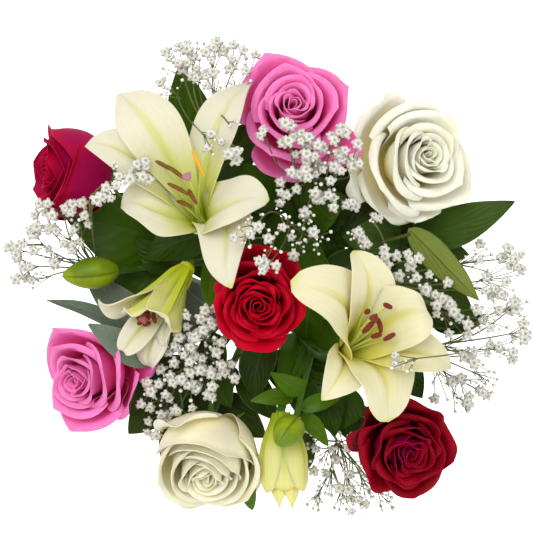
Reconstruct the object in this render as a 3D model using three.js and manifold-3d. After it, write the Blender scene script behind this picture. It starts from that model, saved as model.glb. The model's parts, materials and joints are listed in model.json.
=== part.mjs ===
// A hand-tied bouquet of roses, lilies, baby's breath and mixed leaves that stands on its own stems.
// The stems are laid in a spiral, tied at the waist and cut level. Millimetres, +Z up.
// The origin is the middle of the centre stem's cut end, on the surface that the bouquet stands on.
import * as THREE from "three";
import { mergeVertices } from "three/addons/utils/BufferGeometryUtils.js";
import Module from "manifold-3d";

const wasm = await Module();
wasm.setup();

// The bundle
const TIE_HEIGHT = 150;
const STEM_GAP = 0.35;
const INNER_RADIUS = 4.3;
const BUNDLE_MIDDLE = 0.5;
const SLANT = { inner: 0.3, outer: 0.5 };
const STRAIGHT_ABOVE_TIE = 34;
const STEM_STEPS = 10;
const TWIST_TO_HEAD = 78;
const ROSE_STEM = 5.2;
const CENTRE_STEM = 6.8;
const LILY_STEM = 7;
const LEAF_STEM = 2.7;
const SPRAY_STEM = 3;

// How far a stem is bent aside above the tie, so that it passes its neighbours
const SWAYS = {
  salal_left: [-14, -10],
  salal_right: [8, -36],
  salal_top: [0, 30],
  babys_breath_front: [-17, 7],
};

// The tie
const TWINE = 2.4;
const TWINE_TURNS = 4;
const TIE_CLEARANCE = 0.6;

// The flowers and leaves
const SEAT_GAP = 0.3;
const PETAL_THICK = 1.3;
const TEPAL_THICK = 1.5;
const LEAF_THICK = 1.1;
const ROSE_HEIGHT = 47;
const PETAL_LAP = 2.4;
const ROSE_RINGS = [
  { open: 1.0, petals: 5, columns: 4, rows: 3 },
  { open: 0.52, petals: 4, columns: 4, rows: 2 },
];
const FLORET_RADIUS = 3.2;
const TWIG = 0.9;

// Each rose: the middle of its swirl, how far and which way it leans, its turn and its size
const ROSES = {
  red_centre: { top: [-2, -6, 352], tilt: 8, heading: 270, spin: 20, size: 0.92, color: 0xb4071f },
  red_left: { top: [-146, 91, 270], tilt: 52, heading: 170, spin: 0, size: 0.94, color: 0xb4071f },
  red_right: { top: [104, -109, 308], tilt: 20, heading: 315, spin: 40, size: 1.0, color: 0x9c0620 },
  pink_top: { top: [22, 136, 325], tilt: 18, heading: 88, spin: 10, size: 1.05, color: 0xe05aa8 },
  pink_left: { top: [-128, -58, 300], tilt: 34, heading: 195, spin: 30, size: 0.98, color: 0xe05aa8 },
  white_right: { top: [117, 98, 315], tilt: 26, heading: 10, spin: 55, size: 1.1, color: 0xeeeed8 },
  white_front: { top: [-38, -126, 298], tilt: 42, heading: 265, spin: 5, size: 1.02, color: 0xeeeed8 },
};

// Each lily flower: its receptacle, its axis and the tips of its six tepals, broad and narrow by turns
const LILY_FLOWERS = {
  left_open: {
    at: [-39, 47, 308], tilt: 38, heading: 116, open: 1,
    tips: [[-98, 139, 318], [-6, 149, 300], [5, 66, 346], [-20, 7, 356], [-95, 61, 335], [-120, 103, 324]],
    half: [21, 15, 21, 15, 21, 15],
  },
  right_open: {
    at: [53, -38, 305], tilt: 32, heading: 30, open: 1,
    tips: [[19, 12, 370], [61, 32, 345], [111, -8, 338], [129, -48, 318], [85, -83, 337], [40, -68, 347]],
    half: [21, 15, 21, 14, 22, 14],
  },
  half_open: {
    at: [-50, 23, 291], tilt: 62, heading: 233, open: 0.5,
    tips: [[-63, -12, 338], [-112, -1, 316], [-93, -6, 330], [-95, -36, 308], [-77, -48, 294], [-64, -34, 308]],
    half: [13, 13, 12, 13, 13, 13],
  },
};

const GREEN_BUDS = {
  left: { at: [-101, 19, 272], tilt: 84, heading: 186, length: 40, radius: 11.5 },
  front: { at: [24, -84, 305], tilt: 42, heading: 228, length: 30, radius: 10.5 },
};
const CLOSING_BUD = { at: [13, -79, 284], tilt: 86, heading: 273, length: 68, radius: 17 };

// Each leaf: where it starts, its tip, half its width, how far it arches up and how far it rolls
const LEAFY_STEMS = {
  salal_left: {
    ring: "inner", head: [-52, 52, 244], color: 0x2f5a14,
    leaves: [
      { from: [-50, 80, 246], to: [-58, 158, 275], half: 16, arch: 5, roll: 10 },
      { from: [-64, 44, 238], to: [-138, 59, 249], half: 24, arch: 6, roll: -8 },
      { from: [-45, 60, 236], to: [-80, 140, 226], half: 19, arch: 9, roll: 15 },
    ],
  },
  salal_top: {
    ring: "outer", head: [6, 58, 250], color: 0x24470f,
    leaves: [
      { from: [24, 64, 262], to: [58, 70, 288], half: 19, arch: 5, roll: 15 },
      { from: [12, 76, 264], to: [-12, 92, 298], half: 13, arch: 3, roll: -15 },
      { from: [12, 39, 254], to: [50, 14, 288], half: 17, arch: 5, roll: 20 },
      { from: [36, 88, 246], to: [80, 134, 250], half: 19, arch: 8, roll: 10 },
    ],
  },
  ruscus_right: {
    ring: "outer", head: [96, 42, 272], color: 0x3f6b12,
    leaves: [
      { from: [99, 46, 278], to: [176, 68, 290], half: 15, arch: 7, roll: -14 },
      { from: [100, 36, 286], to: [149, -2, 296], half: 12, arch: 6, roll: 14 },
      { from: [104, 38, 262], to: [146, 30, 264], half: 12, arch: 4, roll: 0 },
      { from: [88, 44, 268], to: [56, 44, 286], half: 14, arch: 3, roll: -10 },
      { from: [96, 26, 258], to: [150, -14, 262], half: 13, arch: 6, roll: 8 },
    ],
  },
  eucalyptus_left: {
    ring: "inner", head: [-78, -28, 268], color: 0x5f7360,
    leaves: [
      { from: [-86, -26, 272], to: [-149, 0, 286], half: 9, arch: 6, roll: 25 },
      { from: [-80, -38, 284], to: [-124, -8, 309], half: 12, arch: 4, roll: 12 },
      { from: [-74, -22, 256], to: [-128, 18, 236], half: 11, arch: 8, roll: 0 },
    ],
  },
  ruscus_front: {
    ring: "inner", head: [-46, -58, 250], color: 0x23420f,
    leaves: [
      { from: [-54, -62, 252], to: [-92, -94, 240], half: 13, arch: 6, roll: 10 },
      { from: [-34, -46, 254], to: [-22, -78, 268], half: 12, arch: 4, roll: 20 },
      { from: [-60, -50, 242], to: [-126, -88, 216], half: 14, arch: 6, roll: 0 },
      { from: [-44, -70, 236], to: [-70, -132, 220], half: 14, arch: 6, roll: 0 },
    ],
  },
  salal_right: {
    ring: "inner", head: [46, -80, 240], color: 0x24470f,
    leaves: [
      { from: [62, -64, 250], to: [50, -96, 254], half: 13, arch: 5, roll: 0 },
      { from: [40, -72, 238], to: [10, -52, 250], half: 11, arch: 3, roll: 0 },
      { from: [58, -92, 222], to: [132, -88, 202], half: 16, arch: 5, roll: 0 },
      { from: [34, -98, 224], to: [20, -152, 212], half: 16, arch: 8, roll: 0 },
    ],
  },
};

// Each stem of baby's breath: where it forks, and its puffs of florets, each with its spread
// and, where its twig goes round a petal, the point that it passes
const SPRAYS = {
  top_left: {
    ring: "outer", fork: [-30, 108, 276],
    puffs: [
      [-61, 166, 302, 12], [-38, 171, 304, 11], [-20, 168, 306, 10], [-31, 150, 312, 9],
      [-63, 143, 322, 9], [-32, 104, 355, 9, -51, 118, 337],
    ],
  },
  top: {
    fork: [38, 84, 270],
    puffs: [
      [18, 105, 340, 8], [45, 103, 338, 12], [60, 94, 334, 10], [33, 86, 336, 12],
      [50, 77, 330, 12], [18, 76, 330, 9],
    ],
  },
  centre: {
    fork: [20, 52, 280],
    puffs: [
      [-5, 49, 370, 9], [6, 32, 366, 10], [16, 48, 354, 9], [38, 39, 336, 10],
    ],
  },
  right: {
    fork: [84, 12, 272],
    puffs: [
      [73, 51, 314, 8], [84, 28, 322, 10], [102, 24, 322, 9], [118, 6, 308, 9],
      [152, 26, 286, 12], [170, 12, 284, 12], [140, -18, 286, 12],
    ],
  },
  far_right: {
    fork: [112, -36, 256],
    puffs: [
      [164, -12, 284, 12], [183, -24, 282, 6], [153, -42, 280, 12], [172, -36, 276, 9],
      [130, -60, 272, 11], [148, -66, 268, 10],
    ],
  },
  front: {
    fork: [54, -104, 240],
    puffs: [
      [41, -115, 256, 9], [48, -137, 250, 10], [64, -142, 252, 10], [78, -140, 254, 10], [59, -104, 262, 9],
    ],
  },
  left_front: {
    fork: [-52, -44, 256],
    puffs: [
      [-51, -49, 306, 10], [-36, -38, 304, 10], [-67, -58, 296, 9], [-49, -68, 292, 11],
      [-66, -76, 286, 9], [-66, -92, 272, 8], [-44, -14, 312, 10], [-37, -27, 316, 8],
    ],
  },
  left: {
    ring: "outer", fork: [-118, 20, 247],
    puffs: [
      [-140, 62, 296, 10], [-157, 55, 284, 9], [-142, 43, 294, 10], [-157, 38, 280, 9],
      [-164, 25, 274, 10], [-162, 12, 268, 9], [-93, 81, 358, 10, -119, 72, 324],
    ],
  },
};

const point = (p) => new THREE.Vector3(...p);
const lerp = (a, b, t) => a + (b - a) * t;
const radians = THREE.MathUtils.degToRad;
const smooth = (low, high, x) => THREE.MathUtils.smoothstep(x, low, high);

// The same draw for the same pair of numbers, from 0 to 1
function draw(seed, index) {
  const wave = Math.sin(seed * 127.1 + index * 311.7) * 43758.5453;
  return wave - Math.floor(wave);
}

function material(color, roughness = 0.6) {
  return new THREE.MeshStandardMaterial({ color, roughness, metalness: 0, side: THREE.DoubleSide });
}

// A closed geometry as a solid that can be joined and cut
function solidOf(geometry, matrix) {
  const bare = new THREE.BufferGeometry().setAttribute("position", geometry.getAttribute("position").clone());
  if (geometry.index) bare.setIndex(geometry.index);
  if (matrix) bare.applyMatrix4(matrix);
  const merged = mergeVertices(bare, 1e-4);
  return new wasm.Manifold(
    new wasm.Mesh({
      numProp: 3,
      vertProperties: merged.getAttribute("position").array,
      triVerts: new Uint32Array(merged.index.array),
    }),
  );
}

// The one body that the solids make together; only specks may fall away
function fuse(solids, tolerance = 0.15) {
  const joined = wasm.Manifold.union(solids).asOriginal().simplify(tolerance);
  const bodies = joined.decompose().sort((a, b) => b.volume() - a.volume());
  if (bodies.length > 1 && bodies[1].volume() > 0.5) {
    const { min, max } = bodies[1].boundingBox();
    throw new Error(`a loose piece from ${min} to ${max}`);
  }
  return bodies[0];
}

function meshOf(name, solid, look) {
  const mesh = solid.getMesh();
  const geometry = new THREE.BufferGeometry();
  geometry.setAttribute("position", new THREE.BufferAttribute(new Float32Array(mesh.vertProperties), 3));
  geometry.setIndex(new THREE.BufferAttribute(new Uint32Array(mesh.triVerts), 1));
  geometry.computeVertexNormals();
  const made = new THREE.Mesh(geometry, look);
  made.name = name;
  return made;
}

// A thin closed blade: rows of points on its middle surface, thick inside and thin at its edge.
// Both faces are split into the same triangles, so that they never cross.
function blade(rows, thickness) {
  const lastRow = rows.length - 1;
  const lastColumn = rows[0].length - 1;
  const positions = [];
  const face = [[], []];
  const add = (p) => positions.push(p.x, p.y, p.z) / 3 - 1;
  rows.forEach((row, j) =>
    row.forEach((p, i) => {
      const edge = j === 0 || i === 0 || j === lastRow || i === lastColumn;
      if (edge) {
        face[0].push(add(p));
        face[1].push(face[0].at(-1));
        return;
      }
      const across = rows[j][i + 1].clone().sub(rows[j][i - 1]);
      const along = rows[j + 1][i].clone().sub(rows[j - 1][i]);
      const out = across.cross(along).setLength(thickness / 2);
      face[0].push(add(p.clone().add(out)));
      face[1].push(add(p.clone().sub(out)));
    }),
  );
  const triangles = [];
  const width = lastColumn + 1;
  for (let j = 0; j < lastRow; j++)
    for (let i = 0; i < lastColumn; i++) {
      const corners = [j * width + i, j * width + i + 1, (j + 1) * width + i + 1, (j + 1) * width + i];
      const rising = i < lastColumn / 2 !== (j === lastRow - 1);
      const split = rising ? [[0, 1, 2], [0, 2, 3]] : [[0, 1, 3], [1, 2, 3]];
      for (const [a, b, c] of split) {
        triangles.push(face[0][corners[a]], face[0][corners[b]], face[0][corners[c]]);
        triangles.push(face[1][corners[a]], face[1][corners[c]], face[1][corners[b]]);
      }
    }
  const geometry = new THREE.BufferGeometry();
  geometry.setAttribute("position", new THREE.BufferAttribute(new Float32Array(positions), 3));
  geometry.setIndex(triangles);
  return solidOf(geometry);
}

// Rows of points from a surface formula: u runs across from -1 to 1, v along from 0 to 1
function surfaceRows(formula, columns, rows) {
  return Array.from({ length: rows + 1 }, (_, j) =>
    Array.from({ length: columns + 1 }, (_, i) => formula((2 * i) / columns - 1, j / rows)),
  );
}

// A tube with flat ends along a curve
function sweep(extrudePath, diameter, sides, steps) {
  const ring = new THREE.Shape();
  for (let i = 0; i < sides; i++) {
    const angle = (i / sides) * 2 * Math.PI;
    ring[i ? "lineTo" : "moveTo"]((diameter / 2) * Math.cos(angle), (diameter / 2) * Math.sin(angle));
  }
  ring.closePath();
  return solidOf(new THREE.ExtrudeGeometry(ring, { extrudePath, steps, bevelEnabled: false }));
}

const tube = (points, diameter, sides, steps) => sweep(new THREE.CatmullRomCurve3(points), diameter, sides, steps);

// A straight tapered twig
function twig(from, to, thick, thin, sides = 3) {
  const along = to.clone().sub(from);
  const geometry = new THREE.CylinderGeometry(thin / 2, thick / 2, along.length(), sides);
  const turn = new THREE.Quaternion().setFromUnitVectors(new THREE.Vector3(0, 1, 0), along.clone().normalize());
  const middle = from.clone().add(to).multiplyScalar(0.5);
  return solidOf(geometry, new THREE.Matrix4().compose(middle, turn, new THREE.Vector3(1, 1, 1)));
}

// The place of a flower whose own +Z is its axis
function placeOf(at, tilt, heading, spin = 0) {
  return new THREE.Matrix4()
    .makeTranslation(...at)
    .multiply(new THREE.Matrix4().makeRotationZ(radians(heading)))
    .multiply(new THREE.Matrix4().makeRotationY(radians(tilt)))
    .multiply(new THREE.Matrix4().makeRotationZ(radians(spin - heading)));
}

function axisOf(tilt, heading) {
  return new THREE.Vector3(
    Math.sin(radians(tilt)) * Math.cos(radians(heading)),
    Math.sin(radians(tilt)) * Math.sin(radians(heading)),
    Math.cos(radians(tilt)),
  );
}

// A solid of revolution from [radius, height] points, each turned section shaped by a formula
function turned(profile, sectors, shapeRadius = () => 1) {
  const geometry = new THREE.LatheGeometry(profile.map(([r, z]) => new THREE.Vector2(r, z)), sectors);
  const place = geometry.getAttribute("position");
  for (let i = 0; i < place.count; i++) {
    const [x, height, z] = [place.getX(i), place.getY(i), place.getZ(i)];
    const share = shapeRadius(Math.atan2(x, z), height);
    place.setXYZ(i, z * share, x * share, height);
  }
  return solidOf(geometry);
}

// The line of a rose petal from its root to its rim, as [radius, height, angle] steps
function petalLine(open, size) {
  const steps = 24;
  const start = lerp(62, 22, open);
  const belly = lerp(94, 74, open);
  const curl = lerp(4, 120, open ** 1.5);
  const line = [[lerp(2, 6, open) * size, SEAT_GAP, radians(start)]];
  for (let i = 1; i <= steps; i++) {
    const v = (i - 0.5) / steps;
    const angle = radians(start + (belly - start) * smooth(0, 0.45, v) - curl * smooth(0.7, 1, v));
    const [radius, height] = line.at(-1);
    const step = (ROSE_HEIGHT * size) / steps;
    line.push([radius + step * Math.cos(angle), height + step * Math.sin(angle), angle]);
  }
  return (v) => {
    const place = Math.min(v * steps, steps - 1e-6);
    const [low, high] = [line[Math.floor(place)], line[Math.floor(place) + 1]];
    return low.map((value, i) => lerp(value, high[i], place % 1));
  };
}

// A petal's middle surface: wrapped round the flower's axis, one edge outside its neighbour
function petalSurface(open, turn, size) {
  const line = petalLine(open, size);
  const halfWidth = lerp(14, 24, open) * size;
  return (u, v) => {
    const rim = 1 - 0.26 * Math.abs(u) ** 2.4 + 0.03 * Math.max(0, 1 - 5 * Math.abs(u));
    const along = lerp(0.08, 1, 1 - (1 - v) ** 1.5) * rim;
    const [radius, height, angle] = line(along);
    const width = halfWidth * (0.12 + 0.88 * Math.sin(Math.PI * Math.min(0.5, along * 0.9)));
    const round = turn + u * Math.min(width / radius, 2.3);
    const lap = u * PETAL_LAP * size;
    const wrapped = radius + lap * Math.sin(angle);
    return new THREE.Vector3(wrapped * Math.cos(round), wrapped * Math.sin(round), height - lap * Math.cos(angle));
  };
}

function roseBloom({ top, tilt, heading, spin, size }) {
  const swirl = (angle, height) => 1 + 0.09 * Math.sin(2 * angle - height * 0.22);
  const core = turned(
    [[0, SEAT_GAP], [5, SEAT_GAP], [10, 4], [7.6, 14], [7.2, 32], [5, 45], [0, 41]]
      .map(([r, z]) => [r * size, z > 1 ? z * size : z]), 8, swirl);
  const petals = ROSE_RINGS.flatMap(({ open, petals: count, columns, rows }, ring) =>
    Array.from({ length: count }, (_, k) => {
      const turn = radians((k * 360) / count + ring * 137.5);
      return blade(surfaceRows(petalSurface(open, turn, size), columns, rows), PETAL_THICK);
    }),
  );
  const base = roseBase({ top, tilt, heading, size });
  return fuse([core, ...petals]).transform(placeOf(base.toArray(), tilt, heading, spin).elements);
}

// Where a rose's petals meet its hip
function roseBase({ top, tilt, heading, size }) {
  return point(top).sub(axisOf(tilt, heading).multiplyScalar(ROSE_HEIGHT * size));
}

// The hip under a rose and its five sepals, bent down
function roseHip(rose) {
  const place = placeOf(roseBase(rose).toArray(), rose.tilt, rose.heading, rose.spin);
  const hip = turned([[0, -11], [2.6, -10], [5, -5], [4.4, 0], [0, 0]], 6);
  const sepals = Array.from({ length: 5 }, (_, k) => {
    const turn = radians(k * 72 + 36);
    const surface = (u, v) => {
      const reach = 3 + 19 * v;
      const half = 3.2 * (1 - v) ** 0.6 * Math.sin(Math.PI * (0.25 + 0.6 * v));
      const drop = -1.2 - 9 * v * v;
      return new THREE.Vector3(reach, half * u, drop - 0.8 * u * u).applyAxisAngle(new THREE.Vector3(0, 0, 1), turn);
    };
    return blade(surfaceRows(surface, 2, 2), 1);
  });
  return wasm.Manifold.union([hip, ...sepals]).transform(place.elements);
}

// A tepal's middle surface, from the throat to its tip, arched outwards and channelled near its root
function tepalSurface(flower, tip, half, broad) {
  const base = point(flower.at);
  const axis = axisOf(flower.tilt, flower.heading);
  const toTip = point(tip).sub(base);
  const rise = toTip.dot(axis);
  const outwards = toTip.clone().addScaledVector(axis, -rise);
  const reach = outwards.length();
  outwards.normalize();
  const side = new THREE.Vector3().crossVectors(axis, outwards);
  const length = toTip.length();
  const curve = new THREE.CubicBezierCurve(
    new THREE.Vector2(broad ? 3 : 4.8, 1.5),
    new THREE.Vector2((broad ? 3 : 5.4) + 0.05 * length, 0.42 * length),
    new THREE.Vector2(0.55 * reach, rise + 0.34 * length * flower.open),
    new THREE.Vector2(reach, rise),
  );
  return (u, v) => {
    const middle = curve.getPoint(v);
    const along = curve.getTangent(v);
    const inwards = axis.clone().multiplyScalar(along.x).addScaledVector(outwards, -along.y);
    const width = half * (0.12 * (1 - v) + 0.96 * Math.sin(Math.PI * v ** 1.25) ** 1.5) + 0.3;
    const cup = lerp(0.75, broad ? 0.1 : 0.2, smooth(0, 0.6, v)) * width * u * u;
    const wave = (broad ? 1.6 : 0.8) * Math.sin(v * 11 + u * 2) * u * u * smooth(0.2, 0.5, v);
    return base.clone()
      .addScaledVector(outwards, middle.x)
      .addScaledVector(axis, middle.y)
      .addScaledVector(side, width * u)
      .addScaledVector(inwards, cup + wave);
  };
}

function lilyBloom(flower) {
  const place = placeOf(flower.at, flower.tilt, flower.heading);
  const throat = turned([[0, SEAT_GAP], [3.6, SEAT_GAP], [6, 3], [5.6, 5], [0, 5]], 8);
  const tepals = flower.tips.map((tip, k) =>
    blade(surfaceRows(tepalSurface(flower, tip, flower.half[k], k % 2 === 0), 4, 5), TEPAL_THICK));
  return fuse([throat.transform(place.elements), ...tepals]);
}

// A long eight-sided grain about a point, such as an anther
function grain(at, along, length, thick) {
  const turn = new THREE.Quaternion().setFromUnitVectors(new THREE.Vector3(0, 1, 0), along.clone().normalize());
  const size = new THREE.Vector3(thick / 2, length / 2, thick / 2);
  return solidOf(new THREE.OctahedronGeometry(1), new THREE.Matrix4().compose(at, turn, size));
}

// Six filaments with their anthers and the longer style with its stigma, joined at the foot
function lilyStamens(flower, length, reachOut) {
  const foot = 5 + SEAT_GAP;
  const parts = [turned([[0, foot], [2.6, foot], [2, foot + 4], [0, foot + 4]], 6)];
  for (let k = 0; k < 6; k++) {
    const turn = radians(k * 60 + 20);
    const reach = (v) => lerp(1.6, reachOut, v * v);
    const at = (v) => new THREE.Vector3(reach(v) * Math.cos(turn), reach(v) * Math.sin(turn), foot + 1 + length * v);
    parts.push(tube([at(0), at(0.5), at(1)], 1.8, 3, 2));
    parts.push(grain(at(1), new THREE.Vector3(-Math.sin(turn), Math.cos(turn), 0.5), 14, 4.4));
  }
  const tip = new THREE.Vector3(0, 0, foot + length * 1.1);
  parts.push(twig(new THREE.Vector3(0, 0, foot), tip, 2.4, 2.2));
  parts.push(grain(tip, new THREE.Vector3(0, 0, 1), 5, 7));
  return fuse(parts).transform(placeOf(flower.at, flower.tilt, flower.heading).elements);
}

// A closed spindle bud with three seams, its root at its origin
function budShape(length, radius, sectors, rows, fromZ) {
  const outline = Array.from({ length: rows + 1 }, (_, i) => {
    const t = i / rows;
    return [radius * Math.sin(Math.PI * lerp(0.1, 1, t) ** 0.9) ** 0.75 * (i === rows ? 0 : 1), fromZ + length * t];
  });
  const seams = (angle) => 0.88 + 0.12 * Math.abs(Math.cos(1.5 * angle)) ** 0.6;
  return turned([[0, fromZ], ...outline], sectors, seams);
}

// The bud about to open: three outer tepals wrapped round three inner ones that show at the mouth
function closingBud({ at, tilt, heading, length, radius }) {
  const axis = new THREE.Vector3(0, 0, 1);
  const tepal = (turn, reach, mouth, bulge) => (u, v) => {
    const along = SEAT_GAP + 1 + v * reach;
    const belly = lerp(lerp(4, bulge, smooth(0, 0.5, v)), mouth, smooth(0.55, 1, v));
    const spread = 1.05 * Math.sin(Math.PI * lerp(0.2, 0.86, v));
    const lip = v * v * u * u * 3;
    return new THREE.Vector3(belly - lip, 0, along).applyAxisAngle(axis, turn + u * spread);
  };
  const parts = [turned([[0, SEAT_GAP], [4, SEAT_GAP], [10, 14], [12, 34], [0, 50]], 6)];
  for (let k = 0; k < 3; k++) {
    const turn = radians(k * 120 + 30);
    parts.push(blade(surfaceRows(tepal(turn, length * 0.82, 15, radius), 4, 3), 2));
    parts.push(blade(surfaceRows(tepal(turn + radians(60), length, 8, radius - 3.5), 4, 3), 1.8));
  }
  return fuse(parts).transform(placeOf(at, tilt, heading).elements);
}

// A leaf's middle surface: lens-shaped, folded a little along its midrib and arched towards its tip
function leafSurface({ from, to, half, arch, roll }) {
  const [start, end] = [point(from), point(to)];
  const along = end.clone().sub(start);
  const side = new THREE.Vector3().crossVectors(along, new THREE.Vector3(0, 0, 1)).normalize();
  side.applyAxisAngle(along.clone().normalize(), radians(roll));
  const up = new THREE.Vector3().crossVectors(side, along).normalize();
  return (u, v) => {
    const width = half * Math.sin(Math.PI * Math.max(0.03, v) ** 0.85) ** 0.8 * (v > 0.98 ? 0 : 1) + 0.5;
    const lift = arch * Math.sin(Math.PI * v) + 0.22 * width * Math.abs(u) + 0.05 * half * Math.sin(9 * v) * u * u;
    return start.clone()
      .addScaledVector(along, v)
      .addScaledVector(side, width * u)
      .addScaledVector(up, lift);
  };
}

const leafBlade = (leaf) => blade(surfaceRows(leafSurface(leaf), 2, 5), LEAF_THICK);

// A short stalk that carries a leaf or a flower from a point on its stem
function stalk(from, to, diameter, rise = 0.35) {
  const middle = from.clone().lerp(to, 0.5).add(new THREE.Vector3(0, 0, -rise * from.distanceTo(to) * 0.3));
  return tube([from, middle, to], diameter, 4, 3);
}

// Every stem, with the end that it reaches and the direction it arrives in
const stems = {};
for (const [name, rose] of Object.entries(ROSES)) {
  const axis = axisOf(rose.tilt, rose.heading);
  stems[`rose_${name}`] = {
    ring: name === "red_centre" ? "centre" : "outer",
    diameter: name === "red_centre" ? CENTRE_STEM : ROSE_STEM,
    end: roseBase(rose).addScaledVector(axis, -9),
    arrive: axis,
  };
}
const lilyHead = (flower, back = 0.3) => point(flower.at).addScaledVector(axisOf(flower.tilt, flower.heading), -back);
stems.lily_left = {
  ring: "outer", diameter: LILY_STEM, end: lilyHead(LILY_FLOWERS.left_open),
  arrive: axisOf(LILY_FLOWERS.left_open.tilt, LILY_FLOWERS.left_open.heading),
};
stems.lily_right = {
  ring: "outer", diameter: LILY_STEM, end: lilyHead(LILY_FLOWERS.right_open),
  arrive: axisOf(LILY_FLOWERS.right_open.tilt, LILY_FLOWERS.right_open.heading),
};
for (const [name, stem] of Object.entries(LEAFY_STEMS))
  stems[name] = { ring: stem.ring, diameter: LEAF_STEM, end: point(stem.head), arrive: new THREE.Vector3(0, 0, 1) };
for (const [name, spray] of Object.entries(SPRAYS))
  stems[`babys_breath_${name}`] = {
    ring: spray.ring ?? "inner", diameter: SPRAY_STEM, end: point(spray.fork), arrive: new THREE.Vector3(0, 0, 1),
  };

// Seats the stems of one ring round the waist in the order of their heads, each beside the next
function seatRing(ring, within) {
  const slope = SLANT[ring];
  const seated = Object.values(stems).filter((stem) => stem.ring === ring);
  const headAngle = (stem) => (Math.atan2(stem.end.y, stem.end.x) + 2 * Math.PI) % (2 * Math.PI);
  seated.sort((a, b) => headAngle(a) - headAngle(b));
  for (const stem of seated) {
    stem.slope = slope;
    stem.radius = within + STEM_GAP + stem.diameter / 2;
    stem.share = (stem.diameter / stem.radius) * Math.hypot(1, slope);
  }
  const spare = (2 * Math.PI - seated.reduce((sum, stem) => sum + stem.share, 0)) / seated.length;
  let along = 0;
  for (const stem of seated) {
    stem.seat = along + (stem.share + spare) / 2;
    along += stem.share + spare;
  }
  const turn = Math.atan2(
    seated.reduce((sum, stem) => sum + Math.sin(headAngle(stem) - stem.seat), 0),
    seated.reduce((sum, stem) => sum + Math.cos(headAngle(stem) - stem.seat), 0),
  );
  for (const stem of seated) stem.seat += turn - radians(TWIST_TO_HEAD);
  return Math.max(...seated.map((stem) => stem.radius + stem.diameter / 2));
}
for (const [name, sway] of Object.entries(SWAYS)) stems[name].sway = sway;
Object.assign(stems.rose_red_centre, { seat: 0, radius: 0, slope: 0 });
const INNER_REACH = seatRing("inner", INNER_RADIUS);
const OUTER_REACH = seatRing("outer", INNER_REACH);

// A stem's line: straight and slanting through the tie, then a smooth curve to its head
class StemLine extends THREE.Curve {
  constructor({ seat, radius, slope, end, arrive, sway = [0, 0] }) {
    super();
    const slant = new THREE.Vector3(-Math.sin(seat) * slope, Math.cos(seat) * slope, 1);
    const middle = radius ? BUNDLE_MIDDLE : 0;
    const waist = new THREE.Vector3(middle + radius * Math.cos(seat), radius * Math.sin(seat), TIE_HEIGHT);
    this.low = waist.clone().addScaledVector(slant, -(TIE_HEIGHT + 6));
    this.high = waist.clone().addScaledVector(slant, STRAIGHT_ABOVE_TIE);
    const reach = this.high.distanceTo(end) / 3;
    const aside = new THREE.Vector3(...sway, 0);
    const leave = this.high.clone().addScaledVector(slant, reach).add(aside);
    const land = end.clone().addScaledVector(arrive, -reach);
    this.bend = new THREE.CubicBezierCurve3(this.high, leave, land, end);
  }

  getPoint(t, target = new THREE.Vector3()) {
    const low = t < 0.5;
    return low ? target.lerpVectors(this.low, this.high, t * 2) : this.bend.getPoint(t * 2 - 1, target);
  }
}

// Cuts the bundle level where it stands
const BELOW_TABLE = solidOf(new THREE.BoxGeometry(400, 400, 40), new THREE.Matrix4().makeTranslation(0, 0, -20));

function stemTube(name, sides) {
  const stem = stems[name];
  return sweep(new StemLine(stem), stem.diameter, sides, STEM_STEPS).subtract(BELOW_TABLE);
}

// The middle of a stem's tube at a height
function stemAt(name, height) {
  const points = new StemLine(stems[name]).getSpacedPoints(STEM_STEPS);
  const next = points.findIndex((p) => p.z > height);
  const [low, high] = [points.at(next - 1), points.at(next)];
  return low.clone().lerp(high, (height - low.z) / (high.z - low.z));
}

const bouquet = new THREE.Group();
const LEAF_GREEN = 0x3c6a1c;

function addRoses() {
  for (const [name, rose] of Object.entries(ROSES)) {
    const key = `rose_${name}`;
    bouquet.add(meshOf(`${key}_bloom`, roseBloom(rose), material(rose.color, 0.55)));
    const sides = name === "red_centre" ? 8 : 5;
    bouquet.add(meshOf(`${key}_stem`, fuse([stemTube(key, sides), roseHip(rose)]), material(LEAF_GREEN)));
  }
}

// A bud on the lily stem, with its pedicel
function lilyBud(bud, stemName, height) {
  const place = placeOf(bud.at, bud.tilt, bud.heading);
  const root = point(bud.at).addScaledVector(axisOf(bud.tilt, bud.heading), 3);
  return [
    budShape(bud.length, bud.radius, 9, 5, 0).transform(place.elements),
    stalk(stemAt(stemName, height), root, 3.4),
  ];
}

function addLilies() {
  const { left_open, right_open, half_open } = LILY_FLOWERS;
  const cream = material(0xf0edc0, 0.5);
  const rust = material(0x8c3a14, 0.8);
  const flowers = [["left_open", left_open, 60, 15], ["right_open", right_open, 58, 15], ["half_open", half_open, 42, 5]];
  for (const [name, flower, length, reachOut] of flowers) {
    bouquet.add(meshOf(`lily_${name}_bloom`, lilyBloom(flower), cream));
    bouquet.add(meshOf(`lily_${name}_stamens`, lilyStamens(flower, length, reachOut), rust));
  }
  bouquet.add(meshOf("lily_closing_bud", closingBud(CLOSING_BUD), material(0xdfe27a, 0.5)));
  const leftStem = fuse([
    stemTube("lily_left", 7),
    ...lilyBud(GREEN_BUDS.left, "lily_left", 236),
    stalk(stemAt("lily_left", 262), lilyHead(half_open, 0.6), 3.6),
    ...[[206, 100, 12], [222, 165, 12], [236, 280, 10]].map(([height, heading, half]) => lilyLeaf("lily_left", height, heading, half)),
  ]);
  const rightStem = fuse([
    stemTube("lily_right", 7),
    ...lilyBud(GREEN_BUDS.front, "lily_right", 262),
    stalk(stemAt("lily_right", 244), lilyHead(CLOSING_BUD, 0.8), 3.6),
    ...[[212, 350, 11], [226, 200, 11], [240, 90, 10]].map(([height, heading, half]) => lilyLeaf("lily_right", height, heading, half)),
  ]);
  bouquet.add(meshOf("lily_left_stem", leftStem, material(LEAF_GREEN)));
  bouquet.add(meshOf("lily_right_stem", rightStem, material(LEAF_GREEN)));
}

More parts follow.
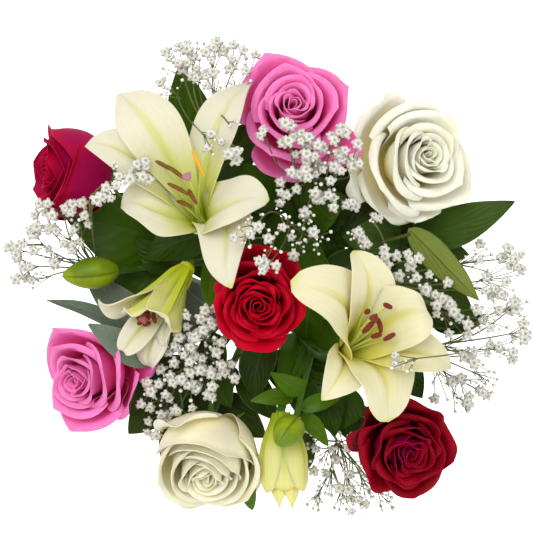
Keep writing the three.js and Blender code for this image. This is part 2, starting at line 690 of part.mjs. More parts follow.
// A narrow leaf straight on the lily stem
function lilyLeaf(stemName, height, heading, half) {
  const from = stemAt(stemName, height);
  const out = axisOf(60, heading);
  return leafBlade({ from: from.toArray(), to: from.clone().addScaledVector(out, 62).toArray(), half, arch: 6, roll: 0 });
}

function addLeafyStems() {
  for (const [name, { leaves, color }] of Object.entries(LEAFY_STEMS)) {
    const parts = [stemTube(name, 5)];
    for (const leaf of leaves) {
      const height = Math.min(leaf.from[2] - 14, LEAFY_STEMS[name].head[2] - 4);
      parts.push(stalk(stemAt(name, height), leafSurface(leaf)(0, 0.12), 1.8), leafBlade(leaf));
    }
    bouquet.add(meshOf(name, fuse(parts), material(color)));
  }
}

// A pedicel with its double floret, in one piece: a three-sided twig that opens to a five-cornered cup
function floweringTwig(from, to, turn) {
  const facing = to.clone().sub(from).normalize();
  const side = new THREE.Vector3().crossVectors(facing, new THREE.Vector3(0.3, 1, 0.2)).normalize();
  const across = new THREE.Vector3().crossVectors(facing, side);
  const ring = (count, radius, at) =>
    Array.from({ length: count }, (_, k) => {
      const angle = turn + (k / count) * 2 * Math.PI;
      return at.clone()
        .addScaledVector(side, radius * Math.cos(angle))
        .addScaledVector(across, radius * Math.sin(angle));
    });
  const neck = to.clone().addScaledVector(facing, -2.6);
  const rings = [ring(3, TWIG / 2, from), ring(3, TWIG / 2, neck), ring(5, FLORET_RADIUS, to)];
  const positions = [...rings.flat(), to.clone().addScaledVector(facing, 1.3)].flatMap((p) => p.toArray());
  const triangles = [0, 2, 1];
  for (let k = 0; k < 3; k++) {
    const next = (k + 1) % 3;
    triangles.push(k, next, 3 + next, k, 3 + next, 3 + k);
  }
  triangles.push(3, 4, 7, 3, 7, 6, 4, 5, 9, 4, 9, 8, 4, 8, 7, 5, 3, 6, 5, 6, 10, 5, 10, 9);
  for (let k = 0; k < 5; k++) triangles.push(6 + k, 6 + ((k + 1) % 5), 11);
  const geometry = new THREE.BufferGeometry();
  geometry.setAttribute("position", new THREE.BufferAttribute(new Float32Array(positions), 3));
  geometry.setIndex(triangles);
  return solidOf(geometry);
}

// The places of a puff's florets: a cap that opens away from its root, filled by the golden angle
function puffTips(root, centre, spread, count, seed) {
  const facing = centre.clone().sub(root).normalize();
  const side = new THREE.Vector3().crossVectors(facing, new THREE.Vector3(1, 0.3, 0.2)).normalize();
  const across = new THREE.Vector3().crossVectors(facing, side);
  return Array.from({ length: count }, (_, k) => {
    const reach = spread * Math.sqrt((k + 0.5) / count);
    const angle = k * 2.39996 + seed;
    const rise = 0.45 * spread * (1 - (reach / spread) ** 2) + 1.5 * (draw(seed, k) - 0.5);
    return centre.clone()
      .addScaledVector(side, reach * Math.cos(angle))
      .addScaledVector(across, reach * Math.sin(angle))
      .addScaledVector(facing, rise);
  });
}

function addSprays() {
  let seed = 1;
  for (const [name, { fork, puffs }] of Object.entries(SPRAYS)) {
    const key = `babys_breath_${name}`;
    const parts = [stemTube(key, 5)];
    const start = point(fork);
    for (const [x, y, z, spread, ...via] of puffs) {
      const centre = new THREE.Vector3(x, y, z);
      const past = via.length ? point(via) : start;
      const out = centre.clone().sub(past).normalize().add(new THREE.Vector3(0, 0, 0.6)).normalize();
      const root = centre.clone().addScaledVector(out, -1.25 * spread);
      if (via.length) parts.push(twig(start, past, 1.6, 1.6));
      parts.push(twig(past, root, 1.6, 1.2));
      const tips = puffTips(root, centre, spread, spread > 11 ? 3 : 2, seed);
      tips.forEach((tip, k) => {
        const from = root.clone().addScaledVector(root.clone().sub(past).normalize(), -1.2 - 1.6 * k);
        parts.push(floweringTwig(from, tip, seed + k));
      });
      seed += 1;
    }
    bouquet.add(meshOf(key, fuse(parts), material(0xf4f4ee, 0.7)));
  }
}

// The tie: turns of twine side by side round the waist, and a flat knot
function addTie() {
  const inner = OUTER_REACH + TIE_CLEARANCE;
  const low = TIE_HEIGHT - (TWINE * TWINE_TURNS) / 2;
  const outside = Array.from({ length: TWINE_TURNS * 2 + 1 }, (_, i) => [
    inner + (i % 2 ? TWINE : TWINE * 0.45),
    low + (i * TWINE) / 2,
  ]);
  const profile = [[inner, low], ...outside, [inner, low + TWINE * TWINE_TURNS], [inner, low]];
  const coil = turned(profile, 16).translate([BUNDLE_MIDDLE, 0, 0]);
  const knotAt = new THREE.Vector3(BUNDLE_MIDDLE, -(inner + TWINE), TIE_HEIGHT);
  const knot = solidOf(new THREE.SphereGeometry(3.4, 6, 4), new THREE.Matrix4().makeTranslation(...knotAt.toArray()));
  const ends = [-1, 1].map((hand) =>
    tube([0, 0.5, 1].map((t) => knotAt.clone().add(new THREE.Vector3(hand * (2 + 14 * t), -1 - 3 * t, -16 * t * t))), TWINE, 4, 3));
  bouquet.add(meshOf("tie", fuse([coil, knot, ...ends]), material(0xb99a63, 0.9)));
}

addRoses();
addLilies();
addLeafyStems();
addSprays();
addTie();

export default bouquet;
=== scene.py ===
"""A mixed flower bouquet: roses, lilies, leafy stems and baby's breath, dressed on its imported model."""

import json
import math

import bmesh
import bpy
from bpy.props import FloatProperty, FloatVectorProperty, IntProperty, PointerProperty
from mathutils import Matrix, Vector
from mathutils.bvhtree import BVHTree
from mathutils.geometry import interpolate_bezier

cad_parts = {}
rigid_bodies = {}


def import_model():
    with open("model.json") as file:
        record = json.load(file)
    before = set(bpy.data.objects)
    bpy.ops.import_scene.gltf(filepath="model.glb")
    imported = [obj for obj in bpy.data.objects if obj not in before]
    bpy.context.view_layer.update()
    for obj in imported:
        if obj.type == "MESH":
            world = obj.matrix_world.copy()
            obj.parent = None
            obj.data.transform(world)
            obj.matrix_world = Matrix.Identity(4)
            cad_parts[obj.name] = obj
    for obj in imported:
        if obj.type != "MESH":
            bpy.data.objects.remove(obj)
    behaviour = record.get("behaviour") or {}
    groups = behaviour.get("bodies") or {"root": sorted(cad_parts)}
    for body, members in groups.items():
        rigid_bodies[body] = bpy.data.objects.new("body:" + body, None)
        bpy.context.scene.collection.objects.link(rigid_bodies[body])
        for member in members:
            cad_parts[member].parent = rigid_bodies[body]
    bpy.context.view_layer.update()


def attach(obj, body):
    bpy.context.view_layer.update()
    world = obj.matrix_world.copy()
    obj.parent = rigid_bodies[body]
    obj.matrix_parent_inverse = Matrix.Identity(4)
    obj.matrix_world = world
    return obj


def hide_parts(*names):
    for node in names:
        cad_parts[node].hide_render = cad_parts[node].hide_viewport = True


bl_info = {
    "name": "Mixed flower bouquet",
    "version": (1, 0, 0),
    "blender": (4, 5, 0),
    "location": "3D View > Sidebar > Bouquet",
    "description": "Roses, lilies, leafy stems and baby's breath in a spiral bunch",
    "category": "Add Mesh",
}

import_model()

# Lengths are in millimetres and angles in degrees; a finished piece is scaled to metres.
UP = Vector((0, 0, 1))
MILLIMETRES = 1000
TIE_HEIGHT = 150
STEM_GAP = 0.35
INNER_RADIUS = 4.3
BUNDLE_MIDDLE = 0.5
SLANT = {"inner": 0.3, "outer": 0.5}
STRAIGHT_ABOVE_TIE = 34
STRAIGHT_HEIGHTS = (-4, 30, 60, 90, 120, 150, 168)
TWIST_TO_HEAD = 78
STEM_DIAMETER = {"rose": 5.2, "centre": 6.8, "lily": 7, "leafy": 2.7, "spray": 3}
SWAYS = {
    "salal_left": (-14, -10),
    "salal_right": (8, -36),
    "salal_top": (0, 30),
    "babys_breath_front": (-17, 7),
}
ROSE_HEIGHT = 47
HIP_LENGTH = 9
GOLDEN_TURN = 137.5
# A smooth edge bends by less than this, in radians
CREASE = 1.0
# Points closer than this become one: in a blade, and in a tube or a turned shape
BLADE_WELD = 0.02
WELD = 1e-4
# The columns and rows that each kind of blade is bent from
GRIDS = {
    "petal": (18, 18), "guard petal": (18, 20), "sepal": (4, 10), "long sepal": (8, 22), "tepal": (24, 34),
    "bud tepal": (18, 26), "lily leaf": (8, 22), "leaf": (12, 28), "filling leaf": (8, 18),
}
# The point that the camera hangs over in metres, its focal length and its film's width in millimetres
CAMERA_OVER = (0.00544, 0.01904)
FOCAL_LENGTH = 137.25
FILM_WIDTH = 36
# Each soft lamp: its place and width in metres, and its share of the key light's power; both face the aim
LAMPS = {"key": ((-0.5, 0.7, 2.3), 1.3, 1), "fill": ((1.3, -1.0, 1.5), 1.4, 0.25)}
LAMPS_AIM = (0, 0, 0.25)


def table(keys, rows):
    """Named rows of values, each as a dictionary of its keys; a short row leaves out the last of them."""
    return {name: dict(zip(keys, row)) for name, row in rows.items()}


# Each rose: the top of its swirl, its lean, turn and spin, its size, form and ruffles, its slot and skin
ROSES = table(("top", "tilt", "heading", "spin", "size", "form", "ruffled", "slot", "skin"), {
    "red_centre": ((-2, -6, 352), 8, 270, 20, 0.92, "open", 1.6, "rose_red", "rose_red"),
    "red_left": ((-154, 87, 278), 66, 182, -25, 1.0, "bud", 1, "rose_red", "rose_magenta"),
    "red_right": ((104, -109, 308), 20, 315, 40, 1.0, "open", 2.4, "rose_red", "rose_dark"),
    "pink_top": ((22, 134, 325), 16, 88, 25, 1.05, "full", 1, "rose_pink", "rose_pink"),
    "pink_left": ((-132, -59, 300), 34, 195, 30, 0.98, "full", 1, "rose_pink", "rose_pink"),
    "white_right": ((117, 98, 315), 26, 10, 100, 1.1, "full", 1, "rose_white", "rose_white"),
    "white_front": ((-39, -129, 298), 43, 265, -20, 1.1, "bud", 1, "rose_white", "rose_cream"),
})
# The long sepal that shows beside a rose, as (from, to, half width, arch, roll)
LONG_SEPALS = {"white_front": ((-16, -108, 266), (-7, -151, 262), 6.5, 3, 0)}

# The loose guard petals under a rose, each by its heading, reach, rim height and half width
GUARD_PETALS = {
    "red_centre": ((56, 41, 24, 20), (88, 42, 28, 15)),
    "red_left": (),
    "red_right": ((150, 38, 30, 22),),
    "pink_top": ((256, 44, 20, 23), (286, 40, 24, 20), (328, 50, 12, 17)),
    "pink_left": ((20, 50, 9, 15), (330, 38, 28, 22)),
    "white_right": ((198, 50, 27, 16), (238, 42, 22, 26), (285, 38, 22, 22), (128, 44, 32, 22)),
    "white_front": ((116, 41, 32, 23), (300, 42, 26, 22), (252, 42, 33, 24)),
}

# How far one edge of a petal laps over its neighbour, and how far and how hard its flanks fold back
GUARD_FOLD = (1.5, 6, 130)

# The rings of a rose from the swirl outwards: the count of petals, the line of a petal as four
# (radius, height) corners, half its width, its fold as above, and the height of its cusp where it is tall
SWIRL = (
    (1, ((1.0, 0.3), (2.0, 14), (2.6, 30), (1.9, 44)), 6, (0.7, 0.3, 30)),
    (2, ((1.5, 0.3), (5, 10), (4.6, 30), (3.8, 45.5)), 8.5, (1.0, 0.6, 60)),
    (3, ((2.0, 0.3), (8, 8), (7.0, 30), (6.6, 46.5)), 12, (1.4, 1.0, 70)),
)
ROSE_RINGS = {
    "open": SWIRL + (
        (3, ((2.4, 0.3), (11, 7), (9.5, 30), (9.8, 47)), 14.5, (1.7, 1.4, 80)),
        (4, ((3.0, 0.3), (14, 6), (12.5, 28), (13.8, 46.5)), 16, (1.9, 2.2, 95)),
        (4, ((3.5, 0.3), (17, 5), (15.5, 27), (18.6, 45.5)), 19, (2.1, 3.4, 105)),
        (4, ((4.0, 0.3), (20, 5), (19, 26), (24.5, 43.5)), 23, (2.2, 5.0, 115)),
        (5, ((4.0, 0.3), (23, 4), (23, 23), (32, 38)), 24, (2.4, 7.0, 125)),
    ),
    "full": SWIRL + (
        (3, ((2.4, 0.3), (12, 7), (8.8, 32), (11.2, 47.5)), 18, (2.0, 1.8, 80)),
        (3, ((3.0, 0.3), (17, 5), (11.5, 32), (17.5, 46.5)), 24, (2.5, 3.2, 95), 2),
        (3, ((4.0, 0.3), (22, 4), (17, 30), (26, 43.5)), 30, (2.8, 5.0, 110), 4),
        (3, ((4.0, 0.3), (26, 3), (25, 23), (35.5, 37)), 34, (2.8, 6.5, 115), 6),
    ),
    "bud": SWIRL + (
        (3, ((2.4, 0.3), (12, 7), (10.5, 30), (10.3, 47.5)), 18, (2.0, 1.5, 70)),
        (3, ((3.0, 0.3), (18, 4), (17, 28), (15.5, 46.5)), 25, (2.4, 2.0, 75)),
        (3, ((4.0, 0.3), (25, 2), (26, 26), (22, 45.5)), 35, (2.6, 2.6, 80), 2.5),
        (3, ((4.0, 0.3), (31, 0), (34, 24), (28.5, 43)), 42, (2.6, 3.2, 85), 5.5),
    ),
}

# Each lily: its throat, its lean, how far it has opened, half the width and the tip of each tepal,
# and each anther as (middle, direction, half its length), with the stigma
LILY_FLOWERS = {
    "left_open": {
        "at": (-39, 47, 308), "tilt": 38, "heading": 116, "open": 1.0, "half": (20, 16, 20, 18, 22, 16),
        "bend": (4, 3, 7, -14, -9, 2), "blunt": (1.6, 1.1, 0.6, 0.85, 0.9, 1.1),
        "tips": (
            (-98, 139, 318), (-6, 149, 300), (5, 66, 346), (-20, 7, 356), (-95, 61, 335),
            (-120, 103, 324),
        ),
        "anthers": (
            ((-57.7, 84.5, 356), (0.81, -0.58, 0.1), 8.2), ((-65.8, 89.0, 352), (0.86, -0.5, 0.1), 6),
            ((-55.6, 73.2, 355), (0.87, -0.47, 0.15), 8.6), ((-46.3, 68.1, 352), (0.5, -0.85, 0.1), 6),
            ((-42.5, 90.6, 354), (0.4, -0.91, 0.1), 10), ((-52, 63.5, 344), (0.7, -0.3, 0.5), 7),
        ),
        "stigma": (-48.9, 80.0, 364), "anther": 1.6, "bright": 4,
    },
    "right_open": {
        "at": (53, -38, 305), "tilt": 32, "heading": 30, "open": 1.0, "half": (21, 17, 21, 15, 22, 15),
        "bend": (6, 2, -5, 0, -6, 0), "blunt": (0.45, 0.65, 0.75, 1.0, 0.5, 0.9),
        "tips": (
            (19, 12, 370), (61, 32, 345), (111, -8, 338), (129, -48, 318), (85, -83, 337),
            (40, -68, 347),
        ),
        "anthers": (
            ((70.2, -8.5, 352), (0.3, 0.3, 0.9), 3.2), ((83.9, -4.9, 352), (0.8, -0.4, 0.5), 3.6),
            ((71.0, -18.6, 354), (0.7, 0.7, 0.1), 5.6), ((78.5, -17.8, 353), (0.19, -0.98, 0.1), 5.2),
            ((76.5, -24.5, 350), (0.95, 0.3, 0.1), 3.8), ((85.2, -25.3, 350), (0.87, 0.5, 0.1), 4.6),
        ),
        "stigma": (73.9, -13.0, 358), "anther": 1.9,
    },
    "half_open": {
        "at": (-50, 23, 291), "tilt": 62, "heading": 233, "open": 0.5,
        "half": (16, 12.5, 11, 9.5, 13, 11),
        "bend": (3, 0, 0, 0, 0, 0), "blunt": (0.85, 1.0, 1.35, 1.2, 0.95, 1.1),
        "tips": (
            (-63, -12, 338), (-112, -1, 316), (-93, -6, 330), (-95, -36, 308), (-77, -48, 294),
            (-64, -34, 308),
        ),
        "anthers": (
            ((-77.5, -12, 316), (0.1, -0.9, 0.3), 3.4), ((-81, -10, 319), (0.8, -0.3, 0.3), 3),
            ((-84.5, -13, 316), (0.3, -0.9, 0.2), 3), ((-83, -17, 313), (0.8, 0.4, 0.2), 3),
            ((-79, -18, 312), (0.9, 0.3, 0.2), 3), ((-73.5, -14, 317), (0.2, -0.95, 0.2), 4),
        ),
        "stigma": (-81, -14, 317), "anther": 1.6,
    },
}
GREEN_BUDS = {
    "left": {"at": (-101, 19, 272), "tilt": 84, "heading": 186, "spin": 52, "length": 40, "radius": 11.5},
    "right": {"at": (24, -84, 305), "tilt": 42, "heading": 228, "spin": 0, "length": 30, "radius": 10.5},
}
CLOSING_BUD = {"at": (13, -79, 284), "tilt": 86, "heading": 273, "length": 68, "radius": 17}

# The pedicels on each lily stem: the height they leave it at, how far under the bud they bend
# and their diameter
PEDICELS = {
    "left": ((232, 30, 4.4), (256, 10, 4.6)),
    "right": ((258, 12, 4.2), (240, 16, 5.0)),
}
# The leaves on each lily stem as (height on the stem, tip, half width, arch), and the small bright ones
# beside the right stem's buds as (from, to, half width, arch)
LILY_LEAVES = {
    "left": ((206, (-20, 62, 240), 12, 6), (222, (-84, 66, 262), 12, 6), (262, (-38, -8, 300), 8, 3)),
    "right": ((212, (98, -30, 246), 11, 6), (226, (10, -70, 262), 11, 6), (240, (46, 24, 280), 10, 5)),
}
BRIGHT_LEAVES = (
    ((30, -64, 284), (6, -52, 297), 6.5, 4), ((27, -78, 280), (53, -70, 296), 5.5, -7),
    ((28, -82, 276), (46, -104, 280), 5.5, 5), ((22, -70, 278), (-8, -72, 288), 5.5, 4),
)
# Where the lower leaves of the leafy stems fill the bunch between its blooms, seen from above
FILLED = (
    (0, 76), (16, 80), (34, 69), (48, 58), (66, 51), (81, 37), (27, 44), (45, 33), (63, 25), (95, 19),
    (4, 44), (27, 25), (-40, -2), (-41, 25), (-55, 37), (-73, 30), (-34, -42), (-27, -63), (-70, -63),
    (-80, -81), (-52, -74), (0, -49), (16, -56), (34, -49), (48, -56), (41, -74), (56, -81), (27, -70),
    (-5, -70), (-95, -38), (127, -10), (138, -17), (113, -2), (-86, 34), (-100, 26), (66, 84), (10, 98),
    (-62, -20), (-14, -84), (20, -34), (-20, 100), (96, -52), (-8, 58), (-30, -92), (94, 46), (101, 33),
    (88, 12),
)

# Each leafy stem: its ring at the tie, its head, and its leaves from base to tip
# as (from, to, half width, arch, roll)
LEAFY_STEMS = {
    "salal_left": {
        "ring": "inner", "head": (-52, 52, 244), "kind": "salal",
        "leaves": (
            ((-50, 76, 246), (-58, 164, 275), 19, 5, 10),
            ((-60, 38, 238), (-142, 60, 250), 27, 6, -8),
            ((-45, 60, 236), (-80, 140, 226), 19, 9, 15),
            ((-56, 26, 232), (-116, 12, 228), 19, 6, 5),
        ),
    },
    "salal_top": {
        "ring": "outer", "head": (6, 58, 250), "kind": "salal",
        "leaves": (
            ((24, 64, 262), (58, 70, 288), 19, 5, 15),
            ((12, 76, 264), (-12, 92, 298), 13, 3, -15),
            ((12, 39, 254), (50, 14, 288), 17, 5, 20),
            ((34, 84, 246), (68, 112, 250), 16, 8, 10),
        ),
    },
    "salal_right": {
        "ring": "inner", "head": (46, -80, 240), "kind": "salal",
        "leaves": (
            ((62, -64, 250), (50, -96, 254), 13, 5, 0),
            ((40, -72, 238), (10, -52, 250), 11, 3, 0),
            ((56, -90, 232), (116, -94, 228), 14, 5, 0),
            ((30, -92, 224), (10, -138, 214), 13, 8, 0),
        ),
    },
    "ruscus_right": {
        "ring": "outer", "head": (96, 42, 272), "kind": "ruscus", "twig": ((74, 36, 276), (103, 44, 288)),
        "leaves": (
            ((106, 43, 260), (176, 67, 284), 13.5, 7, -8),
            ((102, 48, 287), (150, -2, 296), 9.5, -5, 188),
            ((104, 38, 262), (146, 30, 264), 12, 4, 0),
            ((98, 44, 266), (56, 43, 286), 15, 3, -10),
            ((96, 26, 258), (150, -14, 262), 13, 6, 8),
        ),
    },
    "ruscus_front": {
        "ring": "inner", "head": (-46, -58, 250), "kind": "ruscus",
        "leaves": (
            ((-54, -62, 252), (-92, -94, 240), 13, 6, 10),
            ((-34, -46, 254), (-22, -78, 268), 12, 4, 20),
            ((-60, -50, 242), (-126, -88, 216), 14, 6, 0),
            ((-44, -70, 236), (-70, -132, 220), 14, 6, 0),
        ),
    },
    "eucalyptus_left": {
        "ring": "inner", "head": (-78, -28, 268), "kind": "eucalyptus",
        "leaves": (
            ((-84, -30, 272), (-150, -2, 286), 6, 6, 35),
            ((-76, -45, 288), (-119, -18, 309), 10, 4, 6),
            ((-74, -22, 256), (-128, 18, 236), 11, 8, 0),
        ),
    },
}

# Each spray of baby's breath: its ring, its fork, the share of its tips still in bud, and its puffs
# as (x, y, z, spread) with the way that the twig goes round a neighbour where it needs one
SPRAYS = {
    "top_left": {
        "ring": "outer", "fork": (-30, 108, 276), "buds": 0.3,
        "puffs": (
            (-59, 163, 302, 10), (-35, 169, 304, 9), (-18, 166, 306, 8), (-33, 149, 312, 9),
            (-50, 171, 300, 7), (-62, 143, 322, 8), (-6, 161, 302, 6), (-16, 150, 308, 7),
            (-46, 157, 308, 7), (-34, 104, 352, 6, (-51, 122, 337)), (-17, 96, 350, 5, (-30, 128, 326)),
            (-20, 114, 346, 4, (-30, 128, 326)),
        ),
    },
    "top": {
        "ring": "inner", "fork": (38, 84, 270), "buds": 0.15,
        "puffs": (
            (17, 116, 342, 3, (24, 80, 322)), (19, 105, 340, 4, (22, 78, 320)),
            (29, 108, 342, 4, (30, 79, 324)), (45, 104, 340, 7, (44, 78, 322)),
            (53, 112, 336, 3, (52, 80, 322)), (60, 97, 334, 7, (61, 80, 314)),
            (33, 96, 338, 9, (35, 76, 318)), (50, 91, 334, 9, (49, 74, 316)), (38, 78, 332, 9),
            (47, 67, 328, 6), (60, 64, 324, 3), (30, 60, 326, 3), (14, 72, 330, 7), (26, 86, 338, 6),
            (1, 112, 336, 3, (12, 84, 318)),
        ),
    },
    "centre": {
        "ring": "inner", "fork": (20, 52, 280), "buds": 0.62,
        "puffs": (
            (-5, 49, 370, 8), (6, 32, 366, 7), (4, 22, 364, 6), (16, 48, 354, 7), (38, 39, 336, 8),
            (-12, 40, 368, 6), (30, 52, 336, 5), (24, 36, 340, 6),
        ),
    },
    "right": {
        "ring": "inner", "fork": (84, 12, 272), "buds": 0.4,
        "puffs": (
            (76, 54, 314, 3), (84, 27, 322, 6), (102, 26, 322, 4), (118, 6, 308, 9), (152, 26, 286, 12),
            (170, 12, 284, 12), (140, -18, 286, 12), (61, 43, 320, 4), (69, 36, 318, 3),
            (100, 13, 316, 7), (126, -8, 298, 8), (158, 6, 290, 8), (176, 28, 280, 7),
        ),
    },
    "far_right": {
        "ring": "inner", "fork": (112, -36, 256), "buds": 0.5,
        "puffs": (
            (164, -12, 284, 12), (183, -24, 282, 6), (153, -42, 280, 12), (172, -36, 276, 9),
            (130, -60, 272, 11), (148, -66, 268, 10), (180, -6, 280, 7), (160, -58, 270, 8),
            (136, -34, 284, 9), (142, -78, 262, 7), (93, -41, 355, 8, (141, -36, 344)),
        ),
    },
    "front": {
        "ring": "inner", "fork": (54, -104, 240), "buds": 0.8,
        "puffs": (
            (41, -115, 256, 9), (48, -137, 250, 10), (64, -142, 252, 10), (78, -140, 254, 10),
            (59, -104, 262, 9), (36, -98, 258, 8), (54, -122, 252, 8), (70, -126, 250, 8),
            (90, -148, 252, 6), (58, -150, 248, 7), (38, -148, 246, 6),
        ),
    },
    "left_front": {
        "ring": "inner", "fork": (-52, -44, 256), "buds": 0.15,
        "puffs": (
            (-51, -49, 306, 10), (-36, -38, 304, 10), (-67, -58, 296, 9), (-49, -68, 292, 11),
            (-66, -76, 286, 9), (-66, -92, 272, 8), (-44, -14, 312, 10), (-37, -27, 316, 8),
            (-58, -36, 300, 8), (-80, -68, 286, 8), (-40, -56, 298, 9), (-78, -92, 270, 7),
            (-56, -84, 284, 9), (-28, -50, 300, 8), (-52, -28, 306, 8),
        ),
    },
    "left": {
        "ring": "outer", "fork": (-118, 20, 247), "buds": 0.3,
        "puffs": (
            (-141, 63, 296, 10), (-154, 52, 284, 8), (-138, 44, 294, 9), (-161, 40, 280, 8),
            (-168, 22, 274, 8), (-161, 12, 268, 7), (-126, 49, 300, 6), (-130, 35, 296, 5),
            (-93, 81, 358, 8, (-119, 72, 324)), (-80, 84, 356, 6, (-119, 72, 324)),
            (-106, 70, 350, 5, (-119, 72, 324)), (-174, 34, 276, 4), (-148, 28, 280, 6),
            (-128, 60, 300, 6),
        ),
    },
}

# How glossy each kind of leaf is, how many side veins it has, how they slant, and how pale its rim is
LEAF_LOOKS = {
    "salal": (1.0, 8.0, 2.6, 0.1),
    "ruscus": (0.9, 5.0, 3.4, 0.8),
    "eucalyptus": (0.1, 11.0, 2.0, 0.5),
}
# What the underside of a leaf is paler by
PALE_UNDERSIDE = (0.062, 0.045, 0.018)
SEPAL_THICKNESS = 0.6
# The colour of ripe pollen, and the tones that a stamen's material tells its parts by
RIPE_POLLEN = (0.85, 0.42, 0.03)
STAMEN_TONES = {"filament": 0.1, "style": 0.15, "anther": 0.6, "ripe anther": 0.74, "stigma": 1.0}


def lerp(a, b, share):
    return a + (b - a) * share


def smooth(low, high, value):
    share = min(1, max(0, (value - low) / (high - low)))
    return share * share * (3 - 2 * share)


def bell(value, width):
    """1 where the value is nothing, and falling off on both sides over a width."""
    return math.exp(-((value / width) ** 2))


def draw(seed, index):
    """A fixed number from 0 to 1 for each seed and index."""
    return math.sin(seed * 127.1 + index * 311.7) * 43758.5453 % 1


def srgb(red, green, blue):
    """A linear colour from the shares of red, green and blue that a screen shows."""
    return tuple(c / 12.92 if c <= 0.04045 else ((c + 0.055) / 1.055) ** 2.4 for c in (red, green, blue))


def times(color, *by):
    """A colour with its three channels multiplied, all by one number or each by its own."""
    return tuple(channel * part for channel, part in zip(color, by * 3 if len(by) == 1 else by))


def shade(color, by=1.0):
    """A colour as a node socket takes it, lighter or darker."""
    return (*(min(1.0, channel * by) for channel in color), 1.0)


def polar(radius, angle, height):
    """The point at a radius and an angle round the Z axis, and at a height."""
    return Vector((radius * math.cos(angle), radius * math.sin(angle), height))


def axis_of(flower):
    """The direction that a flower faces."""
    lean, turn = math.radians(flower["tilt"]), math.radians(flower["heading"])
    return Vector((math.sin(lean) * math.cos(turn), math.sin(lean) * math.sin(turn), math.cos(lean)))


def base_of(flower):
    """The foot of a flower: a lily's own place, or as far under a rose's top as the rose is high."""
    if "at" in flower:
        return Vector(flower["at"])
    return Vector(flower["top"]) - axis_of(flower) * ROSE_HEIGHT * flower["size"]


def place_of(flower):
    """The place of a flower whose own +Z is its axis."""
    tilt, heading = math.radians(flower["tilt"]), math.radians(flower["heading"])
    turn = Matrix.Rotation(heading, 4, "Z") @ Matrix.Rotation(tilt, 4, "Y")
    spin = math.radians(flower.get("spin", 0) - flower["heading"])
    return Matrix.Translation(base_of(flower)) @ turn @ Matrix.Rotation(spin, 4, "Z")


def head_of(flower, back=0.3):
    return Vector(flower["at"]) - axis_of(flower) * back


# The stems: where each passes the tie, and its line from the table to its head


def plan_stems():
    """Every stem with its ring, diameter, end and the direction it arrives in, seated round the waist."""
    plan = {}
    for name, rose in ROSES.items():
        kind, ring = ("centre", "centre") if name == "red_centre" else ("rose", "outer")
        axis = axis_of(rose)
        plan[f"rose_{name}"] = (ring, kind, base_of(rose) - axis * HIP_LENGTH, axis)
    for name in ("left", "right"):
        flower = LILY_FLOWERS[f"{name}_open"]
        plan[f"lily_{name}"] = ("outer", "lily", head_of(flower), axis_of(flower))
    for name, leafy in LEAFY_STEMS.items():
        plan[name] = (leafy["ring"], "leafy", Vector(leafy["head"]), UP)
    for name, spray in SPRAYS.items():
        plan[f"babys_breath_{name}"] = (spray["ring"], "spray", Vector(spray["fork"]), UP)
    stems = table(("ring", "kind", "end", "arrive"), plan)
    for name, stem in stems.items():
        stem["diameter"] = STEM_DIAMETER[stem["kind"]]
        stem["sway"] = Vector((*SWAYS.get(name, (0, 0)), 0))
    stems["rose_red_centre"].update(seat=0, radius=0, slope=0)
    reach = seat_ring(stems, "inner", INNER_RADIUS)
    return stems, seat_ring(stems, "outer", reach)


def seat_ring(stems, ring, within):
    """Seats the stems of a ring side by side in the order of their heads; returns the ring's outer radius."""
    seated = [stem for stem in stems.values() if stem["ring"] == ring]
    for stem in seated:
        stem["angle"] = math.atan2(stem["end"].y, stem["end"].x) % math.tau
        stem["slope"] = SLANT[ring]
        stem["radius"] = within + STEM_GAP + stem["diameter"] / 2
        stem["share"] = stem["diameter"] / stem["radius"] * math.hypot(1, SLANT[ring])
    seated.sort(key=lambda stem: stem["angle"])
    spare = (math.tau - sum(stem["share"] for stem in seated)) / len(seated)
    along = 0
    for stem in seated:
        stem["seat"] = along + (stem["share"] + spare) / 2
        along += stem["share"] + spare
    turn = math.atan2(
        sum(math.sin(stem["angle"] - stem["seat"]) for stem in seated),
        sum(math.cos(stem["angle"] - stem["seat"]) for stem in seated),
    )
    for stem in seated:
        stem["seat"] += turn - math.radians(TWIST_TO_HEAD)
    return max(stem["radius"] + stem["diameter"] / 2 for stem in seated)


def stem_line(stem, steps=26):
    """A stem's points: straight and slanting through the tie, then a smooth curve to its head."""
    across, over = math.cos(stem["seat"]), math.sin(stem["seat"])
    slant = Vector((-over * stem["slope"], across * stem["slope"], 1))
    middle = BUNDLE_MIDDLE if stem["radius"] else 0
    waist = Vector((middle, 0, TIE_HEIGHT)) + stem["radius"] * Vector((across, over, 0))
    high = waist + slant * STRAIGHT_ABOVE_TIE
    reach = (high - stem["end"]).length / 3
    leave = high + slant * reach + stem["sway"]
    land = stem["end"] - stem["arrive"] * reach
    straight = [waist + slant * (height - TIE_HEIGHT) for height in STRAIGHT_HEIGHTS]
    return straight + list(interpolate_bezier(high, leave, land, stem["end"], steps))


MADE = []
STEMS, BUNDLE_REACH = plan_stems()
LINES = {name: stem_line(stem) for name, stem in STEMS.items()}


def stem_at(name, height):
    """The middle of a stem at a height."""
    points = LINES[name]
    above = next(i for i, point in enumerate(points) if point.z > height)
    low, high = points[above - 1], points[above]
    return low.lerp(high, (height - low.z) / (high.z - low.z))


# Parts of a piece, each made in a mesh of its own and then joined to it


def new_part():
    """An empty mesh with a map across and along its blades, and a tone for each point."""
    part = bmesh.new()
    part.loops.layers.uv.new("blade")
    part.verts.layers.float.new("tone")
    return part


def set_tone(part, tone):
    """Gives each point of a part its tone: one number, or worked out from the point's place."""
    layer = part.verts.layers.float["tone"]
    for vert in part.verts:
        vert[layer] = tone(vert.co) if callable(tone) else tone


def mesh_of(part, name):
    """The mesh of a finished part, which is used up."""
    mesh = bpy.data.meshes.new(name)
    part.to_mesh(mesh)
    part.free()
    return mesh


